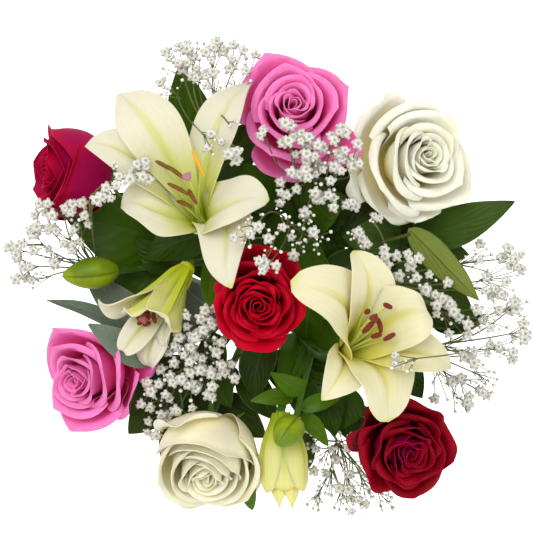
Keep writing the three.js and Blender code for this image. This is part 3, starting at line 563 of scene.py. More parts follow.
def join(piece, part, place=None, tone=None):
    """Moves a finished part into a piece's mesh."""
    if tone is not None:
        set_tone(part, tone)
    if place:
        bmesh.ops.transform(part, matrix=place, verts=part.verts)
    loose = mesh_of(part, "part")
    piece.from_mesh(loose)
    bpy.data.meshes.remove(loose)


def make_blade(kind, surface, thickness, tone=0.5):
    """A grid bent to surface(u, v), u from -1 to 1 and v from 0 to 1, and given its thickness.
    Its far side takes the second material."""
    part = new_part()
    columns, rows = GRIDS[kind]
    grid = bmesh.ops.create_grid(part, x_segments=columns, y_segments=rows, size=1.0, calc_uvs=True)
    for vert in grid["verts"]:
        vert.co = surface(vert.co.x, (vert.co.y + 1) / 2)
    set_tone(part, tone)
    bmesh.ops.remove_doubles(part, verts=part.verts, dist=BLADE_WELD)
    part.normal_update()
    walled = bmesh.ops.solidify(part, geom=part.faces[:], thickness=thickness)["geom"]
    for face in walled:
        if isinstance(face, bmesh.types.BMFace):
            face.material_index = 1
    part.normal_update()
    for edge in part.edges:
        edge.smooth = len(edge.link_faces) == 2 and edge.calc_face_angle() < CREASE
    return part


def add_blade(piece, kind, surface, thickness, tone=0.5, place=None):
    join(piece, make_blade(kind, surface, thickness, tone), place)


def extrude_rim(part, edges):
    """Grows a part's open rim by one row of faces; returns the points and edges of its new rim."""
    grown = bmesh.ops.extrude_edge_only(part, edges=edges)["geom"]
    points = [item for item in grown if isinstance(item, bmesh.types.BMVert)]
    return points, [item for item in grown if isinstance(item, bmesh.types.BMEdge) and item.is_boundary]


def add_tube(piece, line, radius, sides=8, tone=0.5, cut=False):
    """A tube through points, closed at both ends or cut flat on the table."""
    part = new_part()
    last = len(line) - 1
    ring = bmesh.ops.create_circle(part, cap_ends=True, segments=sides, radius=1.0)["verts"]
    edges = part.edges[:]
    turn = UP.rotation_difference(line[1] - line[0])
    place = Matrix.Identity(4)
    for i, point in enumerate(line):
        ahead = line[min(i + 1, last)] - line[max(i - 1, 0)]
        turn = (turn @ UP).rotation_difference(ahead) @ turn
        thick = radius(i / last) if callable(radius) else radius
        new_place = Matrix.LocRotScale(point, turn, (thick, thick, thick))
        if i:
            ring, edges = extrude_rim(part, edges)
        bmesh.ops.transform(part, matrix=new_place @ place.inverted(), verts=ring)
        place = new_place
    bmesh.ops.edgeloop_fill(part, edges=edges)
    if cut:
        whole = part.verts[:] + part.edges[:] + part.faces[:]
        bmesh.ops.bisect_plane(part, geom=whole, dist=WELD, plane_co=(0, 0, 0), plane_no=UP, clear_inner=True)
        bmesh.ops.edgeloop_fill(part, edges=[edge for edge in part.edges if edge.is_boundary])
    bmesh.ops.recalc_face_normals(part, faces=part.faces)
    for edge in part.edges:
        edge.smooth = edge.calc_face_angle() < CREASE
    join(piece, part, tone=tone)


def turned(profile, sectors, share=None):
    """A solid spun from (radius, height) points; share(angle) draws it in between its seams."""
    part = new_part()
    verts = [part.verts.new((radius, 0, height)) for radius, height in profile]
    edges = [part.edges.new(pair) for pair in zip(verts, verts[1:])]
    bmesh.ops.spin(
        part, geom=verts + edges, cent=(0, 0, 0), axis=UP, angle=math.tau, steps=sectors, use_merge=True
    )
    bmesh.ops.remove_doubles(part, verts=part.verts, dist=WELD)
    bmesh.ops.recalc_face_normals(part, faces=part.faces)
    if share:
        for vert in part.verts:
            by = share(math.atan2(vert.co.y, vert.co.x))
            vert.co.x *= by
            vert.co.y *= by
    return part


def room_taken(names):
    """A search tree of pieces that are already made, in millimetres."""
    whole = bmesh.new()
    for name in names:
        whole.from_mesh(bpy.data.objects[name].data)
    bmesh.ops.scale(whole, vec=(MILLIMETRES,) * 3, verts=whole.verts)
    tree = BVHTree.FromBMesh(whole)
    whole.free()
    return tree


def finish_piece(name, piece, materials, slot, replaces=()):
    """Scales a piece to metres, makes its object, and says what it rides on and stands for."""
    bmesh.ops.scale(piece, vec=(1 / MILLIMETRES,) * 3, verts=piece.verts)
    mesh = mesh_of(piece, name)
    for polygon in mesh.polygons:
        polygon.use_smooth = True
    for material in materials:
        mesh.materials.append(material)
    made = bpy.data.objects.new(name, mesh)
    bpy.context.scene.collection.objects.link(made)
    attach(made, "root")
    if replaces:
        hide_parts(*replaces)
    MADE.append(name)


# Materials


def add_node(tree, kind, inputs=None, **settings):
    """A node whose sockets take values or other nodes' outputs."""
    made = tree.nodes.new(kind)
    for name, value in settings.items():
        setattr(made, name, value)
    feed(tree, made, inputs or {})
    return made


def feed(tree, node, inputs):
    """Gives each named input of a node its constant, or links it to another node's output."""
    for key, value in inputs.items():
        if isinstance(value, bpy.types.NodeSocket):
            tree.links.new(value, node.inputs[key])
        else:
            node.inputs[key].default_value = value


def calc(tree, operation, *values):
    return add_node(tree, "ShaderNodeMath", dict(enumerate(values)), operation=operation).outputs[0]


def weighed(tree, first, by_first, second, by_second):
    """The sum of two values, each by its own weight."""
    return calc(tree, "MULTIPLY_ADD", first, by_first, calc(tree, "MULTIPLY", second, by_second))


def ramp(tree, value, low, high, start=0.0, end=1.0):
    """A smooth step of a value, from start at low to end at high."""
    inputs = {"Value": value, "From Min": low, "From Max": high, "To Min": start, "To Max": end}
    return add_node(tree, "ShaderNodeMapRange", inputs, interpolation_type="SMOOTHSTEP").outputs[0]


def tint(tree, share, first, second, mode="MIX"):
    """Two colours mixed by a share."""
    inputs = {0: share, 6: first, 7: second}
    return add_node(tree, "ShaderNodeMix", inputs, data_type="RGBA", blend_type=mode).outputs[2]


def layered(tree, color, *layers):
    """A colour with others laid over it in turn, each by its own share."""
    for share, over in layers:
        color = tint(tree, share, color, over)
    return color


def noise(tree, vector, scale, detail=2.0):
    inputs = {"Vector": vector, "Scale": scale, "Detail": detail}
    return add_node(tree, "ShaderNodeTexNoise", inputs).outputs["Fac"]


def object_coordinates(tree):
    return add_node(tree, "ShaderNodeTexCoord").outputs["Object"]


def blade_map(tree):
    """The distance from the midrib, 0 to 1, the way across and the way along a blade."""
    spread = add_node(tree, "ShaderNodeUVMap", uv_map="blade").outputs[0]
    across, along = add_node(tree, "ShaderNodeSeparateXYZ", {0: spread}).outputs[:2]
    side = calc(tree, "MULTIPLY", calc(tree, "ABSOLUTE", calc(tree, "SUBTRACT", across, 0.5)), 2.0)
    return side, across, along


def tone_of(tree):
    return add_node(tree, "ShaderNodeAttribute", attribute_name="tone").outputs["Fac"]


def petal_colour(tree, given):
    """Colour along a petal from its root to its rim, with fine veins that fan out, and their height."""
    side, across, along = blade_map(tree)
    cloud = noise(tree, object_coordinates(tree), 38.0, 3.0)
    lines = calc(tree, "MULTIPLY_ADD", calc(tree, "SINE", weighed(tree, cloud, 2.2, across, 46.0)), 0.5, 0.5)
    veins = calc(tree, "POWER", lines, 3.0)
    # Root to rim: where a given root is darker than the body it paints shade into the bloom's depths, and
    # where a rim is paler it paints highlight on the crests, over the petal's own colouring
    body = tint(tree, ramp(tree, along, 0.25, 0.88), given["Root"], given["Body"])
    edge = calc(tree, "MAXIMUM", ramp(tree, along, 0.8, 1.0), ramp(tree, side, 0.86, 1.0))
    rimmed = tint(tree, calc(tree, "MULTIPLY", edge, 0.7), body, given["Rim"])
    veined = tint(tree, calc(tree, "MULTIPLY", veins, given["Veins"]), rimmed, given["Root"])
    patchy = ramp(tree, cloud, 0.3, 0.7, 0.9, 1.06)
    lit = calc(tree, "SUBTRACT", calc(tree, "MULTIPLY_ADD", tone_of(tree), 0.12, patchy), 0.06)
    grey = add_node(tree, "ShaderNodeCombineColor", {0: lit, 1: lit, 2: lit}).outputs[0]
    return {
        "Color": tint(tree, 1.0, veined, grey, "MULTIPLY"),
        "Height": weighed(tree, veins, 0.4, cloud, 1.5),
    }


def leaf_veins(tree, given):
    """The midrib and side veins of a leaf, its mottling, its rim and its height."""
    side, across, along = blade_map(tree)
    spot = object_coordinates(tree)
    cloud = noise(tree, spot, 60.0, 4.0)
    bent = calc(tree, "MULTIPLY", calc(tree, "POWER", side, 1.3), given["Slant"])
    phase = calc(tree, "SUBTRACT", calc(tree, "MULTIPLY", along, given["Vein Count"]), bent)
    wander = calc(tree, "FRACT", calc(tree, "MULTIPLY_ADD", cloud, 0.35, phase))
    ridge = calc(tree, "ABSOLUTE", calc(tree, "SUBTRACT", wander, 0.5))
    ribs = calc(tree, "MULTIPLY", ramp(tree, ridge, 0.06, 0.0), ramp(tree, side, 1.0, 0.3))
    midrib = ramp(tree, side, 0.075, 0.03)
    pillow = weighed(tree, ramp(tree, ridge, 0.0, 0.5), 1.2, noise(tree, spot, 900.0), 0.2)
    return {
        "Veins": calc(tree, "MAXIMUM", midrib, calc(tree, "MULTIPLY", ribs, 0.55)),
        "Mottle": cloud,
        "Rim": ramp(tree, side, 0.86, 0.99),
        "Height": calc(tree, "SUBTRACT", pillow, midrib),
    }


def speckle(tree, given):
    """A broad and a fine speckle for stems, pollen and twine."""
    spot = object_coordinates(tree)
    return {
        "Broad": noise(tree, spot, calc(tree, "DIVIDE", 60.0, given["Size"]), 3.0),
        "Fine": noise(tree, spot, calc(tree, "DIVIDE", 900.0, given["Size"])),
    }


# Each effect that materials share, by its inputs with their defaults, and how it is made
GREY = (0.5, 0.5, 0.5, 1.0)
GROUPS = {
    "petal_colour": ({"Root": GREY, "Body": GREY, "Rim": GREY, "Veins": 0.1}, petal_colour),
    "leaf_veins": ({"Vein Count": 9.0, "Slant": 3.0}, leaf_veins),
    "speckle": ({"Size": 1.0}, speckle),
}


def build_group(name):
    """The node group of a shared effect, with its named inputs and outputs."""
    group = bpy.data.node_groups.new(name, "ShaderNodeTree")
    inputs, effect = GROUPS[name]
    for label, default in inputs.items():
        kind = "NodeSocketColor" if isinstance(default, tuple) else "NodeSocketFloat"
        group.interface.new_socket(label, in_out="INPUT", socket_type=kind).default_value = default
    results = effect(group, add_node(group, "NodeGroupInput").outputs)
    for label in results:
        kind = "NodeSocketColor" if label == "Color" else "NodeSocketFloat"
        group.interface.new_socket(label, in_out="OUTPUT", socket_type=kind)
    add_node(group, "NodeGroupOutput", results)


def placed_group(tree, name, values):
    """A node group in a material, with its own values; it is built when it is first placed."""
    if name not in bpy.data.node_groups:
        build_group(name)
    return add_node(tree, "ShaderNodeGroup", values, node_tree=bpy.data.node_groups[name]).outputs


def new_material(name):
    """A material and its nodes."""
    made = bpy.data.materials.new(name)
    made.use_nodes = True
    return made, made.node_tree


def dress(tree, color, height=None, bump=0.3, depth=0.0004, **sockets):
    """Gives a material's shader its colour, its relief, and its other sockets."""
    shader = tree.nodes["Principled BSDF"]
    tree.links.new(color, shader.inputs["Base Color"])
    if height:
        relief = add_node(tree, "ShaderNodeBump", {"Strength": bump, "Distance": depth, "Height": height})
        tree.links.new(relief.outputs[0], shader.inputs["Normal"])
    feed(tree, shader, {label.replace("_", " "): value for label, value in sockets.items()})


def petal_material(name, root, body, rim, veins, through=(1.0, 0.5, 0.5), lit=0.5):
    """The skin of a petal: coloured from root to rim, veined, and lit through."""
    made, tree = new_material(name)
    colors = {"Root": shade(root), "Body": shade(body), "Rim": shade(rim), "Veins": veins}
    petal = placed_group(tree, "petal_colour", colors)
    dress(
        tree, petal["Color"], petal["Height"], 0.25, 0.0006, Roughness=0.62, Subsurface_Weight=lit,
        Subsurface_Scale=0.0006, Subsurface_Radius=through, Specular_IOR_Level=0.1,
    )
    return made


def lily_material(name, throat, body, stripe, tip):
    """A tepal: green-yellow at its throat and along its midrib, cream to its rims, ridged lengthways."""
    made, tree = new_material(name)
    side, across, along = blade_map(tree)
    cloud = noise(tree, object_coordinates(tree), 30.0, 3.0)
    soft = calc(tree, "MULTIPLY_ADD", calc(tree, "SUBTRACT", cloud, 0.5), 0.35, along)
    midrib = calc(tree, "MULTIPLY", ramp(tree, side, 0.30, 0.0), ramp(tree, along, 1.0, 0.4))
    lines = calc(tree, "SINE", weighed(tree, cloud, 1.5, across, 60.0))
    color = layered(
        tree, shade(body),
        (ramp(tree, cloud, 0.35, 0.75), shade(body, 0.94)),
        (ramp(tree, soft, 0.6, 0.22, 0.0, 0.9), shade(stripe)),
        (calc(tree, "MULTIPLY", midrib, 0.75), shade(stripe)),
        (ramp(tree, soft, 0.30, 0.05), shade(throat)),
        (ramp(tree, along, 0.94, 1.0, 0.0, 0.6), shade(tip)),
        (ramp(tree, lines, 0.4, 1.0, 0.0, 0.06), shade(stripe, 0.8)),
    )
    height = weighed(tree, lines, 0.15, cloud, 1.2)
    dress(
        tree, color, height, 0.3, 0.0005, Roughness=0.5, Subsurface_Weight=0.5, Subsurface_Scale=0.0025,
        Subsurface_Radius=(1.0, 0.85, 0.55), Specular_IOR_Level=0.2,
    )
    return made


def leaf_material(name, dark, light, vein, gloss, count, slant, rim=0.0):
    """A leaf's face: mottled green with paler veins and rims, glossy or dull."""
    made, tree = new_material(name)
    leaf = placed_group(tree, "leaf_veins", {"Vein Count": count, "Slant": slant})
    color = layered(
        tree, shade(dark),
        (ramp(tree, leaf["Mottle"], 0.3, 0.7), shade(light)),
        # A high tone lightens a leaf; the low tone of the filling leaves deep in the bunch keeps them darker
        # as painted shade
        (ramp(tree, tone_of(tree), 0.0, 1.0, 0.0, 0.6), shade(light, 1.9)),
        (calc(tree, "MULTIPLY", leaf["Rim"], rim), shade(vein, 1.3)),
        (calc(tree, "MULTIPLY", leaf["Veins"], 0.7), shade(vein)),
    )
    rough = ramp(tree, leaf["Mottle"], 0.2, 0.8, 0.6 - 0.25 * gloss, 0.72 - 0.25 * gloss)
    dress(
        tree, color, leaf["Height"], 0.5, 0.0005, Roughness=rough, Subsurface_Weight=0.15,
        Subsurface_Scale=0.001, Specular_IOR_Level=0.07 + 0.09 * gloss,
    )
    return made


def stem_material(name, dark, light, roughness=0.5, seam=0.0):
    """A stem's or bud's skin: speckled, with darker seams where the tone falls to nothing."""
    made, tree = new_material(name)
    grain = placed_group(tree, "speckle", {"Size": 1.0})
    color = layered(
        tree, shade(dark),
        (ramp(tree, grain["Broad"], 0.35, 0.65), shade(light)),
        (ramp(tree, tone_of(tree), 0.0, 0.25, seam, 0.0), shade(dark, 0.35)),
        (ramp(tree, grain["Fine"], 0.62, 0.8, 0.0, 0.25), shade(light, 1.4)),
    )
    dress(
        tree, color, grain["Fine"], 0.3, 0.0003, Roughness=roughness, Subsurface_Weight=0.1,
        Subsurface_Scale=0.001, Specular_IOR_Level=0.3,
    )
    return made


def stamen_material(name, filament, pollen, stigma):
    """Filament green to pollen rust to stigma, told apart by the tone of each part."""
    made, tree = new_material(name)
    grain = placed_group(tree, "speckle", {"Size": 0.8})
    tone = tone_of(tree)
    dusted = layered(
        tree, shade(pollen, 0.7),
        (ramp(tree, grain["Fine"], 0.4, 0.6), shade(pollen, 1.35)),
        (ramp(tree, tone, 0.64, 0.72), shade(RIPE_POLLEN)),
    )
    color = layered(
        tree, shade(filament),
        (ramp(tree, tone, 0.3, 0.4), dusted),
        (ramp(tree, tone, 0.8, 0.9), shade(stigma)),
    )
    dress(tree, color, grain["Fine"], 0.6, 0.0006, Roughness=0.75)
    return made


def floret_material(name, petal, calyx):
    """White floret petals over a green calyx."""
    made, tree = new_material(name)
    grain = placed_group(tree, "speckle", {"Size": 0.5})
    white = tint(tree, ramp(tree, grain["Broad"], 0.35, 0.7), shade(petal, 1.04), shade(petal))
    # Low tones mix in the calyx green: the calyx itself, the green eye, and painted shade in the notches and
    # the valley between the petals
    whole = tint(tree, ramp(tree, tone_of(tree), 0.35, 0.75), shade(calyx), white)
    dress(
        tree, whole, grain["Broad"], 0.3, 0.0006, Roughness=0.6, Subsurface_Weight=0.3,
        Subsurface_Scale=0.0012, Subsurface_Radius=(1.0, 0.9, 0.8),
    )
    return made


def twine_material(name, straw):
    """Twisted fibre: straw with darker strands."""
    made, tree = new_material(name)
    grain = placed_group(tree, "speckle", {"Size": 0.7})
    color = layered(
        tree, shade(straw, 0.55),
        (ramp(tree, grain["Fine"], 0.35, 0.65), shade(straw, 1.15)),
        (ramp(tree, grain["Broad"], 0.4, 0.7, 0.0, 0.5), shade(straw, 0.8)),
    )
    dress(tree, color, grain["Fine"], 0.8, 0.0008, Roughness=0.9, Sheen_Weight=0.2)
    return made


# Roses


class PetalLine:
    """A petal's middle line in the plane of radius and height, read by its length."""

    steps = 47

    def __init__(self, corners, size):
        ends = [
            Vector((radius * size, height * size if height > 1 else height, 0))
            for radius, height in corners
        ]
        self.points = interpolate_bezier(*ends, self.steps + 1)
        self.marks = [0.0]
        for low, high in zip(self.points, self.points[1:]):
            self.marks.append(self.marks[-1] + (high - low).length)
        self.length = self.marks[-1]

    def at(self, length):
        """The point at a length and the direction of the line there; it runs straight on past its ends."""
        step = max(0, min(self.steps - 1, int(length / self.length * self.steps)))
        while step < self.steps - 1 and self.marks[step + 1] < length:
            step += 1
        while step > 0 and self.marks[step] > length:
            step -= 1
        low, high = self.points[step], self.points[step + 1]
        along = high - low
        share = (length - self.marks[step]) / along.length
        return low + along * share, along.normalized()


def rose_petal(line, size, turn, half, folding, cusp, ruffled, seed):
    """A petal's face: a round sheet whose flanks fold back to a corner, wrapped round the flower's axis."""
    length = line.length
    lap, fold, curl = folding
    tip = (draw(seed, 1) - 0.5) * 0.5 * half
    roll = (0.6 + 0.26 * fold) * size
    cusp = (cusp or min(2.4, 0.3 * fold)) * size
    most = math.radians(curl * (0.85 + 0.3 * draw(seed, 2)))
    uneven = 0.35 * (draw(seed, 3) - 0.5)
    ruffle = (0.35 + 0.06 * fold) * ruffled
    lean = 6.28 * draw(seed, 4)

    def folded(x, y):
        """Where a point of the flat petal goes when the flank that it is on rolls back, and its rise."""
        hand = 1 if x >= tip else -1
        depth = fold * size * (1 + hand * uneven)
        start = Vector((tip, length + 0.4 * size))
        stop = Vector((hand * half * 1.05, length * 0.82 - 1.4 * depth))
        edge = (stop - start).normalized()
        out = Vector((-edge.y, edge.x)) * hand
        past = (Vector((x, y)) - start).dot(out)
        if past <= 0:
            return x, y, 0.0
        angle = min(past / roll, most)
        beyond = past - angle * roll
        moved = roll * math.sin(angle) + beyond * math.cos(angle) - past
        return x + moved * out.x, y + moved * out.y, roll * (1 - math.cos(angle)) + beyond * math.sin(angle)

    def surface(u, v):
        outline = 0.2 + 0.8 * math.sin(math.pi / 2 * min(1.0, v * 1.5))
        x = u * half * outline
        y = length * v * (1 - 0.2 * abs(u) ** 2.3 * v)
        y += cusp * math.exp(-abs(x - tip) / (0.16 * half)) * v ** 6
        x, y, rise = folded(x, y)
        point, along = line.at(y)
        rise += lap * size * u + ruffle * v ** 3 * math.sin(5 * u + lean) * size
        round_axis = turn + max(-2.9, min(2.9, x / max(point.x, 1.6 * size)))
        radius = max(0.2, point.x + rise * along.y)
        return polar(radius, round_axis, point.y - rise * along.x)

    return surface


def rose_bloom(piece, rose, guards, seed, thickness):
    """All the petals of a rose, ring by ring, and its loose guard petals."""
    size, place = rose["size"], place_of(rose)
    mark = seed * 100

    def add_petal(kind, corners, turn, half, folding, cusp=0):
        petal = rose_petal(PetalLine(corners, size), size, turn, half, folding, cusp, rose["ruffled"], mark)
        add_blade(piece, kind, petal, thickness, draw(mark, 9), place)

    for ring, (count, line, half, folding, *cusp) in enumerate(ROSE_RINGS[rose["form"]]):
        for k in range(count):
            mark += 1
            spread = 1 + 0.14 * (draw(mark, 5) - 0.5) * smooth(2, 6, ring)
            raised = (draw(mark, 6) - 0.5) * 1.6
            corners = [
                (radius * (spread if height > 20 else 1), height + raised * (height > 40))
                for radius, height in line
            ]
            turn = math.radians(ring * GOLDEN_TURN + k * 360 / count + 16 * (draw(mark, 7) - 0.5))
            width = half * size * (1 + 0.12 * (draw(mark, 8) - 0.5))
            add_petal("petal", corners, turn, width, folding, *cusp)
    for heading, reach, height, half in guards:
        mark += 1
        corners = ((4, 0.3), (24, 0), (reach * 0.8, height * 0.35), (reach, height))
        turn = math.radians(heading - rose["spin"])
        add_petal("guard petal", corners, turn, half * size, GUARD_FOLD)


def rose_stem(piece, name, rose):
    """A rose's stem with its joints and thorns, and the hip under its petals."""
    line = LINES[f"rose_{name}"]
    thick = STEMS[f"rose_{name}"]["diameter"] / 2
    add_tube(piece, line, lambda share: thick * (1 + 0.05 * math.sin(share * 40)), 10, 0.4, cut=True)
    hip = [
        (0, -11), (2.3, -11), (2.7, -9.5), (3.4, -8), (4.6, -6.5), (5.1, -4.5), (4.8, -2), (4.4, 0), (0, 0),
    ]
    join(piece, turned(hip, 16), place_of(rose), 0.6)
    for k in range(7):
        at = 8 + 2 * k + int(2 * draw(k, len(name)))
        point, along = line[at], (line[at + 1] - line[at]).normalized()
        out = along.orthogonal().normalized()
        out.rotate(Matrix.Rotation(k * 2.4 + len(name), 3, along))
        thorn = new_part()
        bmesh.ops.create_cone(thorn, cap_ends=True, segments=6, radius1=1.5, radius2=0.12, depth=4.2)
        bmesh.ops.scale(thorn, vec=(0.6, 1.0, 1.0), verts=thorn.verts)
        bmesh.ops.recalc_face_normals(thorn, faces=thorn.faces)
        turn = UP.rotation_difference(out - along * 0.25).to_matrix().to_4x4()
        join(piece, thorn, Matrix.Translation(point + out * (thick + 1.2)) @ turn, 0.9)


def rose_sepals(piece, name, rose):
    """The five sepals, bent down from the hip's rim, with thin drawn-out tips."""
    for k in range(5):
        turn = Matrix.Rotation(math.radians(k * 72 + 36), 4, "Z")
        twist = draw(k, rose["spin"]) - 0.5

        def surface(u, v):
            reach = 3.4 + 20 * v
            half = 3.4 * (1 - v) ** 0.7 * math.sin(math.pi * (0.25 + 0.55 * v)) + 0.25
            drop = -1.6 - 9 * v * v + twist * 5 * v
            return Vector((reach, half * u + 3 * twist * v * v, drop - 1.2 * u * u * (1 - v)))

        add_blade(piece, "sepal", surface, SEPAL_THICKNESS, 0.5, place_of(rose) @ turn)
    if name in LONG_SEPALS:
        long_sepal = leaf_surface(LONG_SEPALS[name], 0.5, 0.7)
        add_blade(piece, "long sepal", long_sepal, SEPAL_THICKNESS, 0.2)


# Lilies


def tepal_surface(flower, tip, half, bend, blunt, broad):
    """A tepal's face: arched outwards from the throat, channelled along its midrib, its rims waved."""
    base, axis = base_of(flower), axis_of(flower)
    to_tip = Vector(tip) - base
    length, rise = to_tip.length, to_tip.dot(axis)
    outwards = to_tip - axis * rise
    reach = outwards.length
    outwards.normalize()
    side = outwards.cross(axis)
    corners = (
        (3 if broad else 4.8, 1.5),
        ((3 if broad else 5.4) + 0.05 * length, 0.42 * length),
        (0.55 * reach, rise + 0.34 * length * flower["open"]),
        (reach, rise),
    )
    steps = 64
    points = interpolate_bezier(*(Vector((*corner, 0)) for corner in corners), steps + 1)

    def surface(u, v):
        step = min(steps - 1, int(v * steps))
        middle = points[step].lerp(points[step + 1], v * steps - step)
        along = (points[step + 1] - points[step]).normalized()
        inwards = axis * along.x - outwards * along.y
        width = half * (0.14 * (1 - v) + 0.96 * math.sin(math.pi * v ** 1.25) ** blunt) + 0.3
        cup = lerp(0.75, 0.12 if broad else 0.22, smooth(0, 0.6, v)) * width * u * u
        wave = (1.9 if broad else 1.0) * math.sin(v * 13 + u * 2.2 + tip[0]) * abs(u) ** 2.2
        wave = wave * smooth(0.2, 0.5, v) * smooth(1.0, 0.8, v)
        groove = -1.5 * bell(u, 0.1) * smooth(0, 0.15, v) * smooth(1.0, 0.75, v)
        ridges = 0.45 * bell(abs(u) - 0.3, 0.12) * smooth(0.05, 0.2, v) * smooth(0.8, 0.5, v)
        place = base + outwards * middle.x + axis * middle.y
        place += side * (width * u + bend * math.sin(math.pi * v) ** 2)
        return place + inwards * (cup + wave + groove + ridges)

    return surface


def lily_bloom(piece, flower, thickness):
    """The throat and the six tepals of a lily, the narrow outer three below the broad inner three."""
    profile = [(0, 0.3), (2.6, 0.3), (3.8, 0.8), (5.2, 2), (5.9, 3.2), (5.6, 4.6), (4.4, 5.2), (0, 5.2)]
    join(piece, turned(profile, 18), place_of(flower), 0.5)
    for k, tepal in enumerate(zip(flower["tips"], flower["half"], flower["bend"], flower["blunt"])):
        add_blade(piece, "tepal", tepal_surface(flower, *tepal, k % 2 == 0), thickness, draw(k, 3))


def grown_line(start, axis, end, pull=1.0):
    """The points of a filament or style that leaves its flower along the axis and curves to its end."""
    third = (end - start).length / 3
    return interpolate_bezier(start, start + axis * third, end - axis * third * pull, end, 12)


def lily_stamens(piece, flower):
    """Six filaments with their anthers, and the longer style with its three-lobed stigma."""
    place, axis = place_of(flower), axis_of(flower)
    foot = 5.3
    for k, (spot, way, half) in enumerate(flower["anthers"]):
        turn = math.radians(k * 60)
        start = place @ polar(1.6, turn, foot + 1)
        spot, way = Vector(spot), Vector(way).normalized()
        filament = grown_line(start, axis, spot, 0.8)
        add_tube(piece, filament, lambda share: lerp(1.15, 0.5, share), 8, STAMEN_TONES["filament"])
        marks = (-1, -0.85, -0.6, -0.3, 0, 0.3, 0.6, 0.85, 1)
        bent = [spot + way * half * t - axis * (0.14 * half * t * t) for t in marks]
        thick = flower["anther"]
        tone = STAMEN_TONES["ripe anther" if k == flower.get("bright") else "anther"]
        add_tube(piece, bent, lambda share: thick * (0.2 + 0.8 * math.sin(math.pi * share) ** 0.6), 8, tone)
    stigma = Vector(flower["stigma"])
    style = grown_line(place @ Vector((0, 0, foot)), axis, stigma)
    add_tube(piece, style, lambda share: lerp(1.5, 1.05, share), 10, STAMEN_TONES["style"])
    ovary = [(0, foot), (2.4, foot), (2.6, foot + 2), (2.3, foot + 8), (1.4, foot + 10), (0, foot + 10)]
    join(piece, turned(ovary, 12), place, STAMEN_TONES["style"])
    profile = [(0, -2.8), (1.3, -2.6), (2.9, -1.2), (3.9, 0.6), (3.6, 2.0), (1.8, 2.6), (0, 1.6)]
    lobes = turned(profile, 18, lambda angle: 1 - 0.3 * abs(math.cos(1.5 * angle)) ** 0.5)
    lobes_place = Matrix.Translation(stigma) @ place.to_3x3().normalized().to_4x4()
    join(piece, lobes, lobes_place, STAMEN_TONES["stigma"])


def green_bud(piece, bud):
    """A closed bud: three tepals meet in three seams that run to its tip."""
    rows, length, radius = 26, bud["length"], bud["radius"]
    profile = [(0, 0)]
    for i in range(rows):
        thick = radius * math.sin(math.pi * lerp(0.02, 1, i / rows) ** 0.85) ** 0.65
        profile.append((thick, length * i / rows))
    part = turned(profile + [(0, length)], 48, lambda angle: 0.88 + 0.12 * abs(math.cos(1.5 * angle)) ** 0.5)
    join(piece, part, place_of(bud), lambda point: abs(math.cos(1.5 * math.atan2(point.y, point.x))))


def closing_bud(piece, bud, thickness):
    """The bud about to open: three broad outer tepals with round ends, and three inner ones at its mouth."""
    core = [(0, 0.3), (3, 0.3), (5, 3), (8, 12), (10, 24), (10, 34), (7, 42), (3, 46), (0, 47)]
    join(piece, turned(core, 20), place_of(bud), 0.3)
    for k in range(6):
        turn = math.radians({3: 55, 5: 130}.get(k, k * 60 + 33))
        if k % 2 == 0:
            reach, bulge, mouth, spread, blunt = 55, 17.6, 17.0, 1.0, 0.26
        elif k == 1:
            reach, bulge, mouth, spread, blunt = 54, 15.4, 16.0, 0.82, 0.12
        else:
            reach, bulge, mouth, spread, blunt = bud["length"] - k / 2, 12.5, 9.5, 1.0, 0.2

        def surface(u, v):
            ended = max(0.0, v - 1 + blunt) / blunt
            rounded = 1 - ended if k in (3, 5) else math.sqrt(max(0.0, 1 - ended ** 2))
            belly = lerp(lerp(4.2, bulge, smooth(-0.15, 0.6, v) ** 0.8), mouth, smooth(0.62, 1, v))
            narrowed = 0.8 + 0.2 * smooth(0, 0.5, v) - (0.2 * smooth(0.35, 1, v) if k in (0, 2) else 0)
            angle = turn + u * spread * narrowed * max(0.04, rounded)
            panel = 0.13 * belly * u * u + bell(u, 0.12) * math.sin(math.pi * v)
            radius = belly - panel - 1.5 * smooth(0.88, 1, v)
            return polar(radius, angle, 1.3 + v * reach)

        add_blade(piece, "bud tepal", surface, thickness, 0.4 if k % 2 == 0 else 0.8, place_of(bud))


# Leaves and stems


def leaf_surface(leaf, base=0.6, tip=0.95):
    """A leaf's face: rounded by base, drawn out by tip, folded a little along its midrib and arched."""
    start, end, half, arch, roll = Vector(leaf[0]), Vector(leaf[1]), *leaf[2:]
    widest = base / (base + tip)
    fullness = half * 1.06 / (widest ** base * (1 - widest) ** tip)
    along = end - start
    side = along.cross(UP).normalized()
    side.rotate(Matrix.Rotation(math.radians(roll), 3, along.normalized()))
    up = side.cross(along).normalized()
    seed = start.x * 0.37

    def surface(u, v):
        width = fullness * v ** base * (1 - v) ** tip + 0.3
        lift = arch * math.sin(math.pi * v) + 0.25 * width * abs(u)
        lift += 0.06 * half * math.sin(9 * v + seed) * u * u
        lift -= 0.5 * bell(u, 0.1) * (1 - v)
        lift += 0.05 * half * math.sin(15 * v + 3 * u + seed) * abs(u) ** 3
        sway = 0.06 * along.length * math.sin(math.pi * v) * math.sin(seed)
        return start + along * v + side * (width * u + sway) + up * lift

    return surface


def stalk_line(start, end, sag=8, steps=8):
    """The points of a short stalk that sags a little on its way."""
    middle = start.lerp(end, 0.7) - UP * sag
    near, far = start.lerp(middle, 2 / 3), end.lerp(middle, 2 / 3)
    return list(interpolate_bezier(start, near, far, end, steps))


def lily_leaves(name):
    """The leaves on a lily stem and beside its buds, as (from, to, half width, arch, roll)."""
    made = [(stem_at(f"lily_{name}", height), *leaf, 0) for height, *leaf in LILY_LEAVES[name]]
    return made + [(*leaf, 0) for leaf in BRIGHT_LEAVES if name == "right"]


